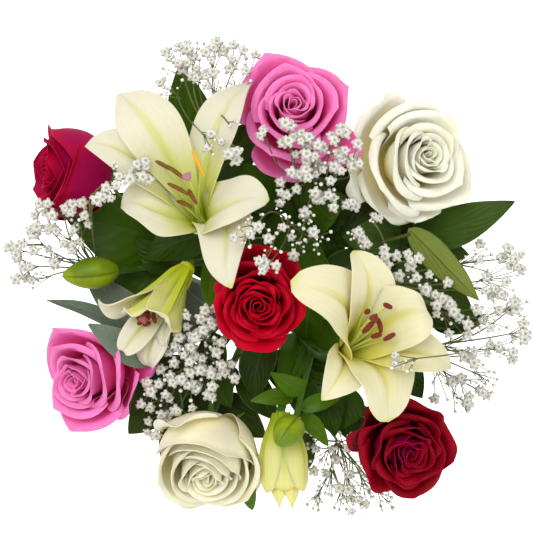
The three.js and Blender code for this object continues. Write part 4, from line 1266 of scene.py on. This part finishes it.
def filling_leaf(spot, seed, thickness, trees):
    """A low leaf over a spot, at the first height and turn that keep it clear of all its neighbours."""
    outwards = math.degrees(math.atan2(spot[1], spot[0]))
    for k in range(40):
        height = 262 - 1.1 * k
        length = lerp(40, 60, draw(seed, k)) * (1 - 0.006 * k)
        turn = math.radians(outwards + 110 * (draw(seed, k + 50) - 0.5))
        along = polar(1, turn, 0.5 * (draw(seed, k + 100) - 0.3)).normalized() * length
        start = Vector((*spot, height)) - along * 0.45
        leaf = (start, start + along, 0.27 * length, 5, 50 * (draw(seed, k + 150) - 0.5))
        # The low tone keeps a filling leaf darker than the leaves on top: painted shade deep in the bunch
        blade = make_blade("filling leaf", leaf_surface(leaf), thickness, 0.3 * draw(seed, 3))
        own = BVHTree.FromBMesh(blade)
        if not any(tree.overlap(own) for tree in trees):
            return leaf, blade, own
        blade.free()
    return None


# Baby's breath


# The rings of a floret from its calyx up: height, radius of its petals and of the notches between them,
# how far the notches are sunk, its turn by sectors, and the tone of petals and notches. The lower tones
# of the notches and of the valley between the tiers draw them toward the calyx green as painted shade
# between the petals; the low tone of the centre is its green eye
FLORET_RINGS = (
    (0.0, 3.9, 2.5, 0.8, 0, 1, 0.66),
    (0.5, 2.0, 1.5, 0, 0, 0.8, 0.7),
    (1.6, 2.9, 1.5, 0.4, 1, 1, 0.66),
    (1.0, 0.6, 0.6, 0, 0, 0.48, 0.48),
)
FLORET_SECTORS = 15


def floret_mesh():
    """A double floret on its calyx, in few faces: two tiers of five blunt petals round a green eye."""
    part = new_part()
    tone = part.verts.layers.float["tone"]
    bmesh.ops.create_circle(part, cap_ends=True, segments=FLORET_SECTORS, radius=0.8)
    bmesh.ops.translate(part, vec=(0, 0, -1.9), verts=part.verts)
    edges = part.edges[:]
    for height, petal, notch, drop, shift, bright, dull in FLORET_RINGS:
        points, edges = extrude_rim(part, edges)
        for vert in points:
            angle = math.atan2(vert.co.y, vert.co.x)
            lobed = (round(angle / math.tau * FLORET_SECTORS) + shift) % 3 != 2
            radius = (petal if lobed else notch) * (1 + 0.12 * math.sin(angle * 3 + height))
            vert.co = polar(radius, angle, height - (0 if lobed else drop))
            # Notches take their own tone; where it is lower than the petals', it paints shade between them
            vert[tone] = bright if lobed else dull
    bmesh.ops.edgeloop_fill(part, edges=edges)
    bmesh.ops.recalc_face_normals(part, faces=part.faces)
    return mesh_of(part, "floret")


def floret_bud_mesh():
    """A round bud of baby's breath, pale at its top and green below."""
    part = new_part()
    bmesh.ops.create_uvsphere(part, u_segments=6, v_segments=5, radius=1.25)
    bmesh.ops.scale(part, vec=(1, 1, 1.3), verts=part.verts)
    set_tone(part, lambda point: 0.42 + 0.3 * point.z)
    return mesh_of(part, "floret_bud")


def put_mesh(piece, mesh, at, turn, size):
    """A copy of a repeated shape, at its place."""
    copy = mesh.copy()
    copy.transform(Matrix.LocRotScale(at, turn, (size, size, size)))
    piece.from_mesh(copy)
    bpy.data.meshes.remove(copy)


def puff_tips(root, centre, spread, count, seed):
    """The places of a puff's florets: scattered over a cap that opens away from its root."""
    facing = (centre - root).normalized()
    side = facing.cross(Vector((1, 0.3, 0.2))).normalized()
    across = facing.cross(side)
    tips = []
    for k in range(count):
        reach = spread * math.sqrt((k + draw(seed, k + 60)) / count)
        angle = k * 2.4 + seed + 1.2 * draw(seed, k + 70)
        rise = 0.4 * spread * (1 - (reach / spread) ** 2) + 0.7 * spread * (draw(seed, k) - 0.5)
        tip = centre + side * (reach * math.cos(angle)) + across * (reach * math.sin(angle))
        tips.append(tip + facing * rise)
    return tips


def twig_line(start, past, root, seed):
    """The points of the twig from a spray's fork to a puff, round a neighbour or freely, and its sag."""
    reach = (root - past).length
    sag = UP.cross(root - past).normalized() * (0.22 * reach * (draw(seed, 1) - 0.5))
    if past is not start:
        return list(interpolate_bezier(start, past, past, root, 14)), sag
    rise = UP * (0.12 * reach * (draw(seed, 2) - 0.7))
    line = [
        past.lerp(root, i / 9) + sag * math.sin(math.pi * i / 9) + rise * math.sin(math.tau * i / 9)
        for i in range(10)
    ]
    return line, sag


def spray(twigs, florets, name, seed, density, shapes, taken):
    """One spray: its stem, the twigs to its puffs, and each puff's florets and buds where there is room."""
    floret, bud = shapes
    spec = SPRAYS[name]
    thick = STEMS[f"babys_breath_{name}"]["diameter"] / 2
    stem = LINES[f"babys_breath_{name}"]
    add_tube(twigs, stem, lambda share: lerp(thick, 0.6 * thick, smooth(0.6, 1, share)), 8, 0.3, cut=True)
    start = Vector(spec["fork"])
    for x, y, z, spread, *via in spec["puffs"]:
        seed += 1
        centre = Vector((x, y, z))
        past = Vector(via[0]) if via else start
        out = ((centre - past).normalized() + UP * 0.6).normalized()
        root = centre - out * (1.25 * spread)
        main, sag = twig_line(start, past, root, seed)
        add_tube(twigs, main, lambda share: lerp(0.7, 0.45, share), 6, 0.5)
        count = max(3, round(0.8 * spread * density))
        for k, tip in enumerate(puff_tips(root, centre, spread * 1.35, count, seed)):
            closed = draw(seed, k + 30) < spec["buds"]
            if taken.find_nearest(tip)[3] < (1.8 if closed else 3.6):
                continue
            low = root.lerp(past, min(0.4, (1.2 + 1.6 * (k % 4)) / max(4.0, (root - past).length)))
            knee = low.lerp(tip, 0.55) + out * (0.1 * spread)
            pedicel = list(interpolate_bezier(low, low.lerp(knee, 0.7), knee, tip - out * 1.2, 5))
            add_tube(twigs, pedicel, lambda share: lerp(0.4, 0.28, share), 4, 0.6)
            nod = Vector((draw(seed, k + 10) - 0.5, draw(seed, k + 20) - 0.5, 1.4))
            turn = UP.rotation_difference((tip - knee).normalized() + nod * 1.1)
            turn = turn @ Matrix.Rotation(k * 1.3, 3, "Z").to_quaternion()
            put_mesh(florets, bud if closed else floret, tip, turn, lerp(0.85, 1.3, draw(seed, k + 40)))
            if closed:
                side = low.lerp(tip, 0.6) + sag.normalized() * (2.4 * spread / 8) + UP * 1.5
                add_tube(twigs, [low.lerp(tip, 0.4), low.lerp(tip, 0.5).lerp(side, 0.5), side], 0.22, 4, 0.7)
                put_mesh(florets, bud, side, turn, 0.8)
    return seed


# The tie, with the steps in one turn of its coil
COIL_STEPS = 72


def twine_runs(thick, turns):
    """The middle lines of the twine: its coil round the waist, the two loose ends and the bow."""
    around = BUNDLE_REACH + 0.6
    middle = Vector((BUNDLE_MIDDLE, 0, TIE_HEIGHT - thick * turns / 2))
    knot = Vector((BUNDLE_MIDDLE, -(around + thick), TIE_HEIGHT))
    radius = around + thick * 0.5
    steps = turns * COIL_STEPS
    coil = []
    for i in range(steps + 1):
        angle = i / COIL_STEPS * math.tau - math.pi / 2
        height = thick * lerp(0.5, turns - 0.5, i / steps)
        coil.append(middle + polar(radius, angle, height))
    shares = [i / 24 for i in range(25)]
    ends = [
        [knot + Vector((hand * (1 + 15 * t), -1 - 3 * t, -16 * t * t)) for t in shares]
        for hand in (-1, 1)
    ]
    bow = []
    for i in range(41):
        angle = i / 40 * math.tau
        bow.append(knot + Vector((3.1 * math.cos(angle), math.sin(2 * angle) - 1.6, 3.4 * math.sin(angle))))
    return [coil, *ends, bow]


def add_twine(piece, run, strand):
    """Two strands twisted round each other along a run of twine."""
    for turn in (0, math.pi):
        line = []
        for i, point in enumerate(run):
            ahead = (run[min(i + 1, len(run) - 1)] - run[max(i - 1, 0)]).normalized()
            side = ahead.cross(UP).normalized()
            over = side.cross(ahead)
            if i:
                turn += (point - run[i - 1]).length / 5.5 * math.tau
            line.append(point + (side * math.cos(turn) + over * math.sin(turn)) * strand)
        add_tube(piece, line, strand * 1.1, 7, 0.5)


# Sizes and colours


def length_of(name, description, default, low, high):
    """A length in metres that a user can change."""
    return FloatProperty(
        name=name, description=description, default=default, min=low, max=high, precision=5,
        subtype="DISTANCE", unit="LENGTH",
    )


def color_of(name, description, *shares):
    """A colour that a user can change, given as a screen shows it."""
    return FloatVectorProperty(
        name=name, description=description, default=srgb(*shares), min=0, max=1, size=3, subtype="COLOR",
    )


class RoseSettings(bpy.types.PropertyGroup):
    """The sizes and colours of the roses"""

    petal_thickness: length_of("Petal thickness", "How thick each petal is", 0.0005, 0.0002, 0.002)
    red: color_of("Red", "The face of a red rose's petals", 0.79, 0.0, 0.15)
    pink: color_of("Pink", "The face of a pink rose's petals", 0.98, 0.46, 0.76)
    white: color_of("White", "The face of a white rose's petals", 0.98, 0.97, 0.925)
    stem: color_of("Stem", "The skin of the rose stems and hips", 0.33, 0.45, 0.16)


class LilySettings(bpy.types.PropertyGroup):
    """The sizes and colours of the lilies"""

    tepal_thickness: length_of("Tepal thickness", "How thick each tepal is", 0.0008, 0.0003, 0.003)
    cream: color_of("Cream", "The face of the tepals", 0.90, 0.88, 0.79)
    throat: color_of("Throat", "The green-yellow of the throat", 0.78, 0.82, 0.10)
    pollen: color_of("Pollen", "The rust of the left lily's anthers", 0.48, 0.31, 0.03)
    dark_pollen: color_of("Dark pollen", "The brown of the other lilies' anthers", 0.47, 0.13, 0.05)


class LeafSettings(bpy.types.PropertyGroup):
    """The sizes and colours of the leafy stems"""

    leaf_thickness: length_of("Leaf thickness", "How thick each leaf is", 0.0005, 0.0002, 0.002)
    salal: color_of("Salal", "The broad dark leaves", 0.15, 0.245, 0.0)
    ruscus: color_of("Ruscus", "The narrow bright leaves", 0.155, 0.23, 0.035)
    eucalyptus: color_of("Eucalyptus", "The grey-green leaves", 0.31, 0.35, 0.30)


class SpraySettings(bpy.types.PropertyGroup):
    """The density and colours of the baby's breath"""

    density: FloatProperty(
        name="Density", description="Florets for each millimetre of a puff's spread", default=0.95, min=0.2,
        max=1.5, subtype="FACTOR",
    )
    white: color_of("Floret", "The petals of the florets", 0.93, 0.92, 0.885)
    twig: color_of("Twig", "The twigs and calyxes", 0.38, 0.42, 0.24)


class TieSettings(bpy.types.PropertyGroup):
    """The size and colour of the twine"""

    turns: IntProperty(name="Turns", description="Turns of twine round the waist", default=4, min=2, max=8)
    thickness: length_of("Twine thickness", "The diameter of the twine", 0.0024, 0.001, 0.004)
    straw: color_of("Straw", "The fibre of the twine", 0.72, 0.58, 0.36)


class StageSettings(bpy.types.PropertyGroup):
    """The floor, the light and the camera"""

    floor_size: length_of("Floor", "Half the width of the floor", 4.0, 0.5, 10.0)
    camera_height: length_of("Camera height", "Height of the camera over the floor", 1.72, 0.6, 5.0)
    key_power: FloatProperty(
        name="Key light", description="Power of the large lamp over the bouquet", default=22.0, min=1.0,
        max=500.0, unit="POWER",
    )
    pale: color_of("Floor colour", "The colour of the floor", 0.97, 0.97, 0.97)


# Operators


class BOUQUET_OT_roses(bpy.types.Operator):
    """Make the seven rose blooms, petal by petal"""

    bl_idname = "bouquet.roses"
    bl_label = "Rose blooms"

    def execute(self, context):
        chosen = context.scene.bouquet_roses
        red, pink, white = chosen.red, chosen.pink, chosen.white
        red_root_with_painted_shade, dark_red = times(red, 0.42), times(red, 0.52)
        magenta, plum = times(red, 0.62, 0.5, 3.4), times(red, 0.5, 0.5, 2.4)
        pink_root_with_painted_shade, pink_rim_with_painted_highlight = times(pink, 0.86, 0.16, 0.42), times(pink, 1, 1.7, 1.15)
        greenish, cream = times(white, 0.95, 0.97, 0.86), times(white, 1, 0.985, 0.84)
        yellow = times(white, 0.98, 0.88, 0.48)
        glowing = ((1.0, 0.85, 0.5), 0.75)
        # The outside and the face of each kind of petal: its root, body and rim, its veins, and its glow. The
        # dark red and deep pink roots are partly the petals' own colour and partly painted shade deep in each
        # bloom, and the pale pink rims are partly painted highlight on the crests.
        looks = {
            "rose_red": [(red_root_with_painted_shade, red, red, 0.06)] * 2,
            "rose_magenta": [(magenta, magenta, red, 0.08), (red_root_with_painted_shade, red, magenta, 0.06)],
            "rose_dark": [(red_root_with_painted_shade, plum, magenta, 0.08), (red_root_with_painted_shade, dark_red, dark_red, 0.08)],
            "rose_pink": [(pink_root_with_painted_shade, pink, pink_rim_with_painted_highlight, 0.04)] * 2,
            "rose_white": [(yellow, white, greenish, 0.03, *glowing)] * 2,
            "rose_cream": [(yellow, cream, cream, 0.03, *glowing)] * 2,
        }
        skins = {
            name: [petal_material(f"{name}_outside", *outside), petal_material(f"{name}_face", *face)]
            for name, (outside, face) in looks.items()
        }
        for number, (name, rose) in enumerate(ROSES.items(), start=1):
            piece = new_part()
            rose_bloom(piece, rose, GUARD_PETALS[name], number, chosen.petal_thickness * MILLIMETRES)
            skin = skins[rose["skin"]]
            finish_piece(f"rose_{name}_petals", piece, skin, rose["slot"], [f"rose_{name}_bloom"])
        return {"FINISHED"}


class BOUQUET_OT_rose_stems(bpy.types.Operator):
    """Make the rose stems with their hips, thorns and sepals"""

    bl_idname = "bouquet.rose_stems"
    bl_label = "Rose stems"

    def execute(self, context):
        green = context.scene.bouquet_roses.stem
        skin = stem_material("rose_stem_skin", green, times(green, 1.3, 0.95, 0.9))
        sepal = leaf_material("rose_sepal", green, times(green, 1.3), times(green, 1.4), 0.2, 6.0, 2.0)
        for name, rose in ROSES.items():
            piece = new_part()
            rose_stem(piece, name, rose)
            finish_piece(f"rose_{name}_stalk", piece, [skin], "rose_stem", [f"rose_{name}_stem"])
            piece = new_part()
            rose_sepals(piece, name, rose)
            finish_piece(f"rose_{name}_sepals", piece, [sepal, sepal], "rose_stem")
        return {"FINISHED"}


class BOUQUET_OT_lilies(bpy.types.Operator):
    """Make the lily blooms, their stamens and the bud about to open"""

    bl_idname = "bouquet.lilies"
    bl_label = "Lily blooms"

    def execute(self, context):
        chosen = context.scene.bouquet_lilies
        thickness = chosen.tepal_thickness * MILLIMETRES
        cream, throat = chosen.cream, chosen.throat
        stripe = tuple(lerp(a, b, 0.75) for a, b in zip(cream, throat))
        ivory, gold, lime = srgb(0.925, 0.90, 0.75), srgb(0.84, 0.81, 0.28), srgb(0.88, 0.88, 0.56)
        filament = srgb(0.80, 0.84, 0.42)
        green, yellow, lemon = srgb(0.58, 0.66, 0.08), srgb(0.92, 0.90, 0.58), srgb(0.72, 0.77, 0.14)
        face = lily_material("lily_face", throat, cream, stripe, throat)
        back = lily_material("lily_back", throat, times(cream, 0.97), throat, throat)
        ivory_face = lily_material("lily_ivory_face", throat, ivory, gold, gold)
        ivory_back = lily_material("lily_ivory_back", throat, ivory, gold, gold)
        half_back = lily_material("lily_half_back", throat, lime, throat, throat)
        bud_face = lily_material("lily_bud_face", green, lime, throat, throat)
        bud_back = lily_material("lily_bud_back", green, yellow, lemon, srgb(0.95, 0.80, 0.08))
        rust = stamen_material("lily_stamen_rust", filament, chosen.pollen, srgb(0.74, 0.48, 0.56))
        dark = stamen_material("lily_stamen_dark", filament, chosen.dark_pollen, srgb(0.50, 0.16, 0.08))
        half = stamen_material("lily_stamen_half", filament, chosen.dark_pollen, srgb(0.70, 0.40, 0.40))
        skins = {
            "left_open": ([face, back], [rust]),
            "right_open": ([ivory_face, ivory_back], [dark]),
            "half_open": ([face, half_back], [half]),
        }
        for name, flower in LILY_FLOWERS.items():
            tepal, stamen = skins[name]
            piece = new_part()
            lily_bloom(piece, flower, thickness)
            finish_piece(f"lily_{name}_tepals", piece, tepal, "lily_tepal", [f"lily_{name}_bloom"])
            piece = new_part()
            lily_stamens(piece, flower)
            finish_piece(f"lily_{name}_filaments", piece, stamen, "lily_stamen", [f"lily_{name}_stamens"])
        piece = new_part()
        closing_bud(piece, CLOSING_BUD, thickness)
        finish_piece("lily_closing_tepals", piece, [bud_back, bud_face], "lily_bud", ["lily_closing_bud"])
        return {"FINISHED"}


class BOUQUET_OT_lily_stems(bpy.types.Operator):
    """Make the lily stems with their green buds and leaves"""

    bl_idname = "bouquet.lily_stems"
    bl_label = "Lily stems and buds"

    def execute(self, context):
        thickness = context.scene.bouquet_leaves.leaf_thickness * MILLIMETRES
        skin = stem_material("lily_stem_skin", srgb(0.20, 0.36, 0.05), srgb(0.28, 0.44, 0.09), 0.45)
        bud_skin = stem_material("lily_bud_skin", srgb(0.42, 0.53, 0.0), srgb(0.57, 0.65, 0.05), 0.4, 0.6)
        greens = srgb(0.16, 0.28, 0.0), srgb(0.24, 0.36, 0.02), srgb(0.34, 0.48, 0.07)
        leaf = leaf_material("lily_leaf", *greens, 1.0, 1.0, 0.0)
        heads = {"left": LILY_FLOWERS["half_open"], "right": CLOSING_BUD}
        for name, bud in GREEN_BUDS.items():
            key = f"lily_{name}"
            piece = new_part()
            stout = STEMS[key]["diameter"] / 2
            add_tube(
                piece, LINES[key], lambda share: stout * (1 + 0.03 * math.sin(share * 70)), 14, 0.4, cut=True
            )
            for flower, back, (height, sag, diameter) in zip((bud, heads[name]), (-3, 0.7), PEDICELS[name]):
                line = stalk_line(stem_at(key, height), head_of(flower, back), sag, 14)
                thick = diameter / 2
                add_tube(piece, line, lambda share: thick * lerp(1.0, 1.25, smooth(0.7, 1, share)), 10, 0.5)
            finish_piece(f"{key}_stalk", piece, [skin], "lily_stem", [f"{key}_stem"])
            piece = new_part()
            green_bud(piece, bud)
            finish_piece(f"{key}_green_bud", piece, [bud_skin], "lily_bud")
            piece = new_part()
            for spec in lily_leaves(name):
                add_blade(piece, "lily leaf", leaf_surface(spec, 0.5, 0.9), thickness, draw(spec[2], 4))
            finish_piece(f"{key}_leaves", piece, [leaf, leaf], "lily_stem")
        return {"FINISHED"}


class BOUQUET_OT_leafy_stems(bpy.types.Operator):
    """Make the leafy stems: broad dark, narrow bright and grey-green leaves"""

    bl_idname = "bouquet.leafy_stems"
    bl_label = "Leafy stems"

    def execute(self, context):
        chosen = context.scene.bouquet_leaves
        thickness = chosen.leaf_thickness * MILLIMETRES
        faces = {}
        for kind, (gloss, *veining) in LEAF_LOOKS.items():
            green = getattr(chosen, kind)
            vein = tuple(channel * 2.0 + 0.01 for channel in green)
            under = tuple(channel * 1.8 + pale for channel, pale in zip(green, PALE_UNDERSIDE))
            faces[kind] = (
                leaf_material(f"{kind}_face", green, times(green, 1.5), vein, gloss, *veining),
                leaf_material(f"{kind}_under", under, times(under, 1.3), vein, 0.2, *veining),
            )
        bark = stem_material("leafy_stem_skin", srgb(0.24, 0.24, 0.10), srgb(0.32, 0.34, 0.12), 0.6)
        pieces, trees = {}, [room_taken(MADE)]
        leaves = {name: list(spec["leaves"]) for name, spec in LEAFY_STEMS.items()}
        for number, name in enumerate(LEAFY_STEMS, start=5):
            pieces[name] = new_part()
            for k, leaf in enumerate(leaves[name]):
                tone = lerp(0.5, 1.0, draw(number, k))
                add_blade(pieces[name], "leaf", leaf_surface(leaf), thickness, tone)
            trees.append(BVHTree.FromBMesh(pieces[name]))
        for seed, spot in enumerate(FILLED, start=300):
            name = min(LEAFY_STEMS, key=lambda stem: math.dist(spot, LEAFY_STEMS[stem]["head"][:2]))
            found = filling_leaf(spot, seed, thickness, trees)
            if found:
                leaf, blade, own = found
                trees.append(own)
                leaves[name].append(leaf)
                join(pieces[name], blade)
        for name, spec in LEAFY_STEMS.items():
            kind = spec["kind"]
            finish_piece(f"{name}_leaves", pieces[name], faces[kind], f"{kind}_leaf")
            piece = new_part()
            thick = STEMS[name]["diameter"] / 2
            add_tube(piece, LINES[name], lambda share: lerp(thick, 1.0, share), 8, 0.3, cut=True)
            for leaf in leaves[name]:
                root = stem_at(name, min(leaf[0][2] - 14, spec["head"][2] - 4))
                line = stalk_line(root, leaf_surface(leaf)(0, 0.05))
                add_tube(piece, line, lambda share: lerp(0.95, 0.7, share), 7, 0.5)
            if "twig" in spec:
                add_tube(piece, stalk_line(*map(Vector, spec["twig"]), 2), 1.3, 8, 1.0)
            finish_piece(f"{name}_stalks", piece, [bark], f"{kind}_leaf", [name])
        return {"FINISHED"}


class BOUQUET_OT_babys_breath(bpy.types.Operator):
    """Make the sprays of baby's breath: twigs, florets and round buds"""

    bl_idname = "bouquet.babys_breath"
    bl_label = "Baby's breath"

    def execute(self, context):
        chosen = context.scene.bouquet_sprays
        calyx = times(chosen.twig, 1.6)
        wood = stem_material("spray_twig", chosen.twig, calyx, 0.6)
        bloom = floret_material("spray_floret", chosen.white, calyx)
        shapes = floret_mesh(), floret_bud_mesh()
        taken = room_taken(MADE)
        seed = 1
        for name in SPRAYS:
            twigs, florets = new_part(), new_part()
            seed = spray(twigs, florets, name, seed, chosen.density, shapes, taken)
            key = f"babys_breath_{name}"
            finish_piece(f"{key}_twigs", twigs, [wood], "babys_breath", [key])
            finish_piece(f"{key}_florets", florets, [bloom], "babys_breath")
        for shape in shapes:
            bpy.data.meshes.remove(shape)
        return {"FINISHED"}


class BOUQUET_OT_tie(bpy.types.Operator):
    """Wind the twine round the waist and knot it"""

    bl_idname = "bouquet.tie"
    bl_label = "Twine tie"

    def execute(self, context):
        chosen = context.scene.bouquet_tie
        piece = new_part()
        for run in twine_runs(chosen.thickness * MILLIMETRES, chosen.turns):
            add_twine(piece, run, chosen.thickness * MILLIMETRES * 0.27)
        finish_piece("tie_twine", piece, [twine_material("twine_fibre", chosen.straw)], "twine", ["tie"])
        return {"FINISHED"}


class BOUQUET_OT_stage(bpy.types.Operator):
    """Lay the pale floor, hang the soft lights and set the camera straight above"""

    bl_idname = "bouquet.stage"
    bl_label = "Floor, light and camera"

    def execute(self, context):
        chosen = context.scene.bouquet_stage
        scene = context.scene
        part = bmesh.new()
        bmesh.ops.create_grid(part, x_segments=1, y_segments=1, size=chosen.floor_size)
        mesh = mesh_of(part, "floor")
        material, tree = new_material("floor_paint")
        faint = noise(tree, object_coordinates(tree), 3.0)
        color = tint(tree, ramp(tree, faint, 0.3, 0.7), shade(chosen.pale), shade(chosen.pale, 0.985))
        glow = calc(tree, "MULTIPLY", add_node(tree, "ShaderNodeLightPath").outputs["Is Camera Ray"], 0.9)
        dress(tree, color, Roughness=0.8, Emission_Color=(1, 1, 1, 1), Emission_Strength=glow)
        mesh.materials.append(material)
        floor = bpy.data.objects.new("floor", mesh)
        scene.collection.objects.link(floor)
        world = bpy.data.worlds.new("studio")
        world.use_nodes = True
        sky = {"Color": (1.0, 0.99, 0.97, 1.0), "Strength": 0.75}
        feed(world.node_tree, world.node_tree.nodes["Background"], sky)
        scene.world = world
        for name, (at, size, share) in LAMPS.items():
            data = bpy.data.lights.new(name, "AREA")
            data.size = size
            data.energy = chosen.key_power * share
            lamp = bpy.data.objects.new(name, data)
            lamp.location = at
            lamp.rotation_euler = (Vector(LAMPS_AIM) - Vector(at)).to_track_quat("-Z", "Y").to_euler()
            scene.collection.objects.link(lamp)
        lens = bpy.data.cameras.new("camera")
        lens.lens = FOCAL_LENGTH
        lens.sensor_width = FILM_WIDTH
        camera = bpy.data.objects.new("camera", lens)
        camera.location = (*CAMERA_OVER, chosen.camera_height)
        scene.collection.objects.link(camera)
        scene.camera = camera
        scene.view_settings.view_transform = "Standard"
        return {"FINISHED"}


class VIEW3D_PT_bouquet(bpy.types.Panel):
    """The pieces of the bouquet, with their sizes and colours"""

    bl_label = "Mixed flower bouquet"
    bl_idname = "VIEW3D_PT_bouquet"
    bl_space_type = "VIEW_3D"
    bl_region_type = "UI"
    bl_category = "Bouquet"

    def draw(self, context):
        for title, store, settings, operators in SECTIONS:
            box = self.layout.box()
            box.label(text=title)
            for prop in settings.__annotations__:
                box.prop(getattr(context.scene, store), prop)
            for operator in operators:
                box.operator(operator.bl_idname)


SECTIONS = (
    ("Stage", "bouquet_stage", StageSettings, (BOUQUET_OT_stage,)),
    ("Roses", "bouquet_roses", RoseSettings, (BOUQUET_OT_roses, BOUQUET_OT_rose_stems)),
    ("Lilies", "bouquet_lilies", LilySettings, (BOUQUET_OT_lilies, BOUQUET_OT_lily_stems)),
    ("Leaves", "bouquet_leaves", LeafSettings, (BOUQUET_OT_leafy_stems,)),
    ("Baby's breath", "bouquet_sprays", SpraySettings, (BOUQUET_OT_babys_breath,)),
    ("Tie", "bouquet_tie", TieSettings, (BOUQUET_OT_tie,)),
)


def register():
    for title, store, settings, operators in SECTIONS:
        bpy.utils.register_class(settings)
        setattr(bpy.types.Scene, store, PointerProperty(type=settings))
        for operator in operators:
            bpy.utils.register_class(operator)
    bpy.utils.register_class(VIEW3D_PT_bouquet)


def unregister():
    bpy.utils.unregister_class(VIEW3D_PT_bouquet)
    for title, store, settings, operators in reversed(SECTIONS):
        for operator in operators:
            bpy.utils.unregister_class(operator)
        delattr(bpy.types.Scene, store)
        bpy.utils.unregister_class(settings)


def main():
    """Registers the add-on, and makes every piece."""
    register()
    bpy.ops.bouquet.stage()
    bpy.ops.bouquet.roses()
    bpy.ops.bouquet.rose_stems()
    bpy.ops.bouquet.lilies()
    bpy.ops.bouquet.lily_stems()
    bpy.ops.bouquet.leafy_stems()
    bpy.ops.bouquet.babys_breath()
    bpy.ops.bouquet.tie()
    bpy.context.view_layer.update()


if __name__ == "__main__":
    main()
